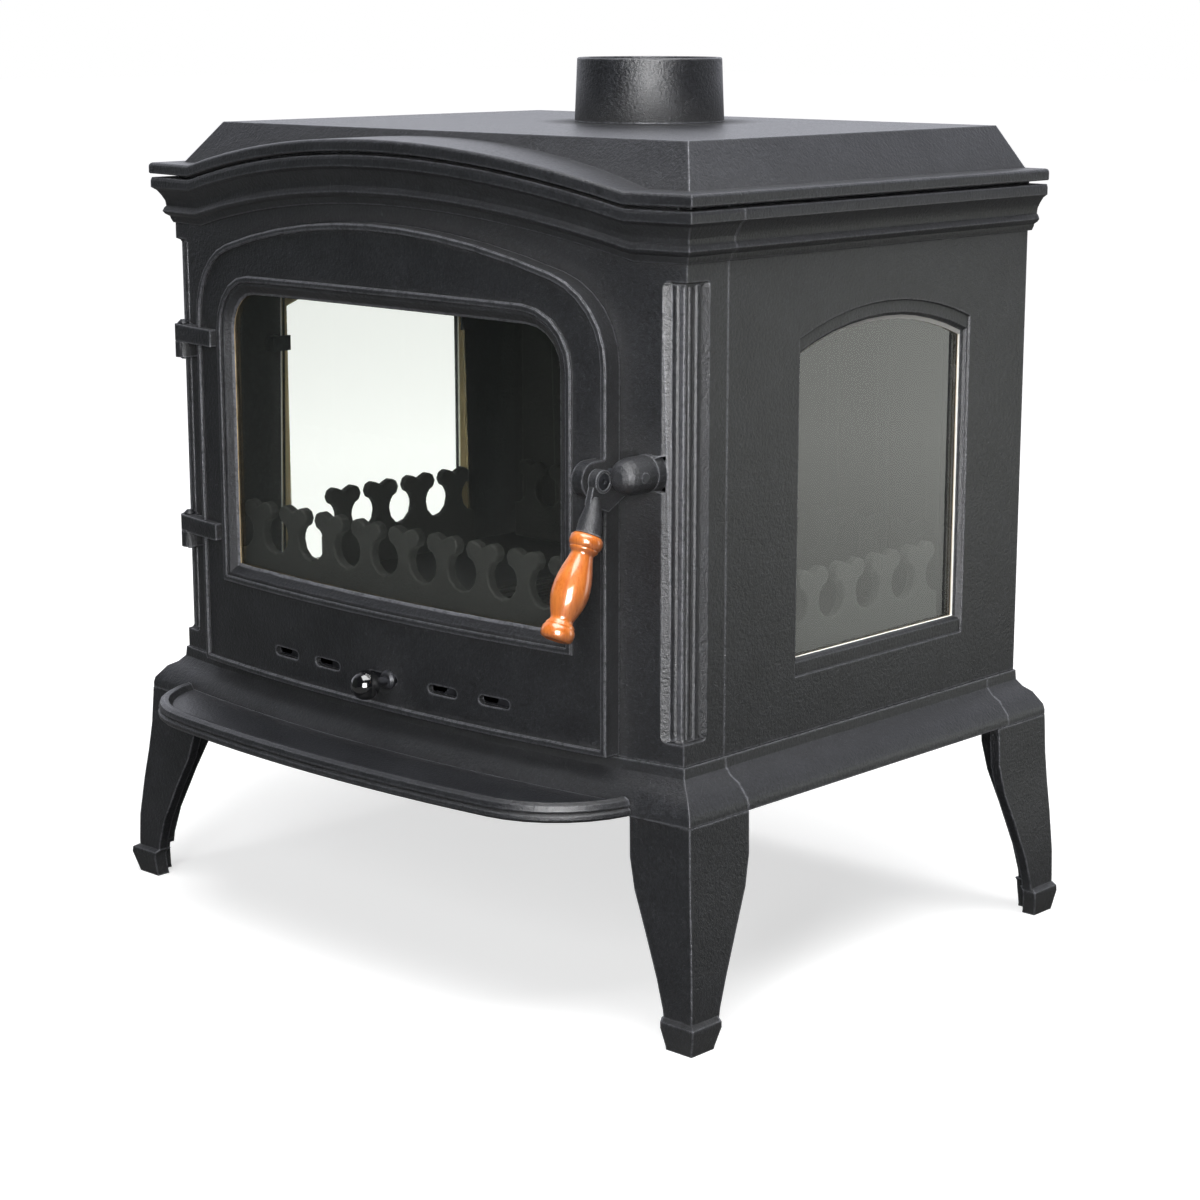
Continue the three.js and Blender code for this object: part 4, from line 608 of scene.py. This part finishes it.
def turned_grip(node_name):
    """Turned from its top face down, drilled for the tang, then leaned into its place."""
    face_radius = GRIP_FACE_SHARE * GRIP_RADIUS
    sides = 40
    near = 0.01
    crease_degrees = 50
    bpy.ops.mesh.primitive_circle_add(vertices=sides, radius=face_radius * MM, fill_type="NGON")
    piece = bpy.context.object
    piece.name = "turned_grip"
    bpy.ops.object.mode_set(mode="EDIT")
    bpy.ops.mesh.select_all(action="SELECT")
    radius_share, down_share = GRIP_FACE_SHARE, 0
    for next_radius_share, next_down_share in GRIP_SHARES:
        bpy.ops.mesh.extrude_region_move(TRANSFORM_OT_translate={
            "value": (0, 0, (down_share - next_down_share) * GRIP_LENGTH * MM),
        })
        scale = next_radius_share / radius_share
        bpy.ops.transform.resize(value=(scale, scale, 1), center_override=(0, 0, 0))
        radius_share, down_share = next_radius_share, next_down_share
    bpy.ops.mesh.select_all(action="SELECT")
    bpy.ops.mesh.normals_make_consistent(inside=False)
    select_where(piece, lambda x, y, z: z > -near)
    bpy.ops.mesh.select_mode(type="FACE")
    bpy.ops.mesh.inset(thickness=(face_radius - BORE_RADIUS) * MM, depth=0)
    bpy.ops.mesh.extrude_region_move(TRANSFORM_OT_translate={"value": (0, 0, -BORE_DEPTH * MM)})
    bpy.ops.mesh.select_all(action="SELECT")
    bpy.ops.transform.rotate(value=GRIP_TILT, orient_axis="X", center_override=(0, 0, 0))
    bpy.ops.transform.translate(value=[length * MM for length in GRIP_TOP])
    bpy.ops.object.mode_set(mode="OBJECT")
    bpy.ops.object.shade_smooth_by_angle(angle=math.radians(crease_degrees))
    stand_in(piece, node_name)


MAKERS = {"latch_keeper": soft_keeper, "handle_grip": turned_grip}
for node_name in sorted(frame["nodes"]):
    MAKERS.get(node_name, smooth_copy)(node_name)


# Floor, light and camera
def straight_view(tree):
    """1 where the camera sees a surface directly or through glass, with no other bounce between."""
    path = add_node(tree, "ShaderNodeLightPath").outputs
    bounces = add_node(tree, "ShaderNodeMath", {0: path["Diffuse Depth"], 1: path["Glossy Depth"]}).outputs[0]
    unbounced = add_node(tree, "ShaderNodeMath", {0: bounces, 1: 0.5}, operation="LESS_THAN").outputs[0]
    through = add_node(tree, "ShaderNodeMath", {
        0: path["Is Transmission Ray"], 1: unbounced,
    }, operation="MULTIPLY").outputs[0]
    return add_node(tree, "ShaderNodeMath", {
        0: path["Is Camera Ray"], 1: through,
    }, operation="MAXIMUM").outputs[0]


def plain_floor():
    """Pale and lit from within, which keeps it white. In gloss and by bounced light it is a dull grey."""
    width, shaded_reach, white_reach = 60, 0.9, 3.0
    bpy.ops.mesh.primitive_plane_add(size=width, location=(0, 0, 0))
    floor = bpy.context.object
    floor.name = "floor"
    material, tree, place = new_material("pale_floor")
    matt = add_node(tree, "ShaderNodeBsdfDiffuse", {"Color": linear("#c8c8c8")})
    dull = add_node(tree, "ShaderNodeBsdfDiffuse", {"Color": linear("#767676")})
    distance = add_node(tree, "ShaderNodeVectorMath", {0: place}, operation="LENGTH").outputs["Value"]
    whiter = add_node(tree, "ShaderNodeMapRange", {
        "Value": distance, "From Min": shaded_reach, "From Max": white_reach, "To Min": 0.66, "To Max": 1.0,
    }).outputs["Result"]
    glow = add_node(tree, "ShaderNodeEmission", {"Color": linear("#ffffff"), "Strength": whiter})
    lit = add_node(tree, "ShaderNodeAddShader", {0: matt.outputs[0], 1: glow.outputs[0]})
    mix = add_node(tree, "ShaderNodeMixShader", {
        0: straight_view(tree), 1: dull.outputs[0], 2: lit.outputs[0],
    })
    add_node(tree, "ShaderNodeOutputMaterial", {"Surface": mix.outputs[0]})
    floor.data.materials.append(material)


def white_room(light_share, front_share):
    """Plain white to the camera. Gloss sees it white behind the stove and dim in front, and it lights
    the stove with a share of that."""
    rear_share = 1.35
    rearward_direction = (-0.6, 0.8, 0)
    world = bpy.data.worlds.new("white_room")
    world.use_nodes = True
    tree = world.node_tree
    tree.nodes.clear()
    facing = add_node(tree, "ShaderNodeTexCoord").outputs["Generated"]
    rearward = add_node(tree, "ShaderNodeVectorMath", {
        0: facing, 1: rearward_direction,
    }, operation="DOT_PRODUCT").outputs["Value"]
    wall = add_node(tree, "ShaderNodeMapRange", {
        "Value": rearward, "From Min": 0.0, "From Max": 0.8, "To Min": front_share, "To Max": rear_share,
    }).outputs["Result"]
    gloss = add_node(tree, "ShaderNodeLightPath").outputs["Is Glossy Ray"]
    level = add_node(tree, "ShaderNodeMapRange", {
        "Value": gloss, "To Min": light_share, "To Max": 1.0,
    }).outputs["Result"]
    strength = add_node(tree, "ShaderNodeMath", {0: wall, 1: level}, operation="MULTIPLY").outputs[0]
    soft = add_node(tree, "ShaderNodeBackground", {"Color": linear("#f3f5ff"), "Strength": strength})
    white = add_node(tree, "ShaderNodeBackground", {"Color": linear("#ffffff"), "Strength": 1.0})
    mix = add_node(tree, "ShaderNodeMixShader", {
        0: straight_view(tree), 1: soft.outputs[0], 2: white.outputs[0],
    })
    add_node(tree, "ShaderNodeOutputWorld", {"Surface": mix.outputs[0]})
    bpy.context.scene.world = world


def softbox(name, place, size, power, in_gloss):
    stove_middle = (0, 0, 0.5)
    lamp = bpy.data.lights.new(name, "AREA")
    lamp.shape = "RECTANGLE"
    lamp.size, lamp.size_y = size
    lamp.energy = power
    holder = bpy.data.objects.new(name, lamp)
    bpy.context.scene.collection.objects.link(holder)
    holder.location = place
    aim = Vector(stove_middle) - Vector(place)
    holder.rotation_euler = aim.to_track_quat("-Z", "Y").to_euler()
    holder.visible_glossy = in_gloss


def studio_card(name, place, size, turn_degrees, colour, strength, foot_share):
    """An upright card that shows only in gloss. From its middle down it fades to a share of its strength."""
    width, height = size
    bpy.ops.mesh.primitive_plane_add(size=1, location=place)
    card = bpy.context.object
    card.name = name
    bpy.ops.object.mode_set(mode="EDIT")
    bpy.ops.mesh.select_all(action="SELECT")
    bpy.ops.transform.resize(value=(width, height, 1), center_override=place)
    bpy.ops.transform.rotate(value=math.radians(90), orient_axis="X", center_override=place)
    bpy.ops.transform.rotate(value=math.radians(turn_degrees), orient_axis="Z", center_override=place)
    bpy.ops.object.mode_set(mode="OBJECT")
    material, tree, on_card = new_material(name)
    rise = add_node(tree, "ShaderNodeSeparateXYZ", {"Vector": on_card}).outputs["Z"]
    level = add_node(tree, "ShaderNodeMapRange", {
        "Value": rise, "From Min": -height / 2, "From Max": 0.0,
        "To Min": strength * foot_share, "To Max": strength,
    }).outputs["Result"]
    shade = add_node(tree, "ShaderNodeEmission", {"Color": linear(colour), "Strength": level})
    add_node(tree, "ShaderNodeOutputMaterial", {"Surface": shade.outputs[0]})
    card.data.materials.append(material)
    card.visible_camera = False
    card.visible_diffuse = False
    card.visible_shadow = False
    card.visible_transmission = False


def photo_camera():
    """The camera solved from the body's edges in the photo."""
    place_mm = (1887.95, -1945.57, 907.88)
    azimuth_degrees, pitch_degrees = 43.12, 12.22
    camera = bpy.data.cameras.new("photo_camera")
    camera.lens = 81.41
    camera.sensor_width = 36
    camera.clip_end = 200
    holder = bpy.data.objects.new("photo_camera", camera)
    bpy.context.scene.collection.objects.link(holder)
    holder.location = [length * MM for length in place_mm]
    holder.rotation_euler = (math.radians(90 - pitch_degrees), 0, math.radians(azimuth_degrees))
    bpy.context.scene.camera = holder


# Places and sizes of the lamps and cards in metres. Edit mode turns a card the other way round, so the
# one ahead on the right, which lights the collar and the reeds, has the negative turn. The other two show
# in the front glass and in the right window.
SOFTBOXES = {
    "key_softbox": {"place": (1.55, -3.1, 1.75), "size": (0.8, 1.5), "power": 60, "in_gloss": False},
    "overhead_softbox": {"place": (0.8, -0.4, 3.2), "size": (3.0, 2.4), "power": 190, "in_gloss": True},
}
STUDIO_CARDS = {
    "dark_card": {
        "place": (-1.0, -1.25, 0.45), "size": (1.7, 1.7), "turn_degrees": 43,
        "colour": "#565b57", "strength": 1, "foot_share": 1,
    },
    "white_card": {
        "place": (1.21, 1.02, 0.32), "size": (0.6, 0.76), "turn_degrees": 43,
        "colour": "#fcfff8", "strength": 2.6, "foot_share": 0.4,
    },
    "gloss_card": {
        "place": (2.3, -2.46, 1.05), "size": (1.7, 2.0), "turn_degrees": -43,
        "colour": "#ffffff", "strength": 25, "foot_share": 1,
    },
}

plain_floor()
white_room(light_share=0.15, front_share=0.06)
for name, settings in SOFTBOXES.items():
    softbox(name, **settings)
for name, settings in STUDIO_CARDS.items():
    studio_card(name, **settings)
photo_camera()

bpy.context.scene.view_settings.view_transform = "Standard"
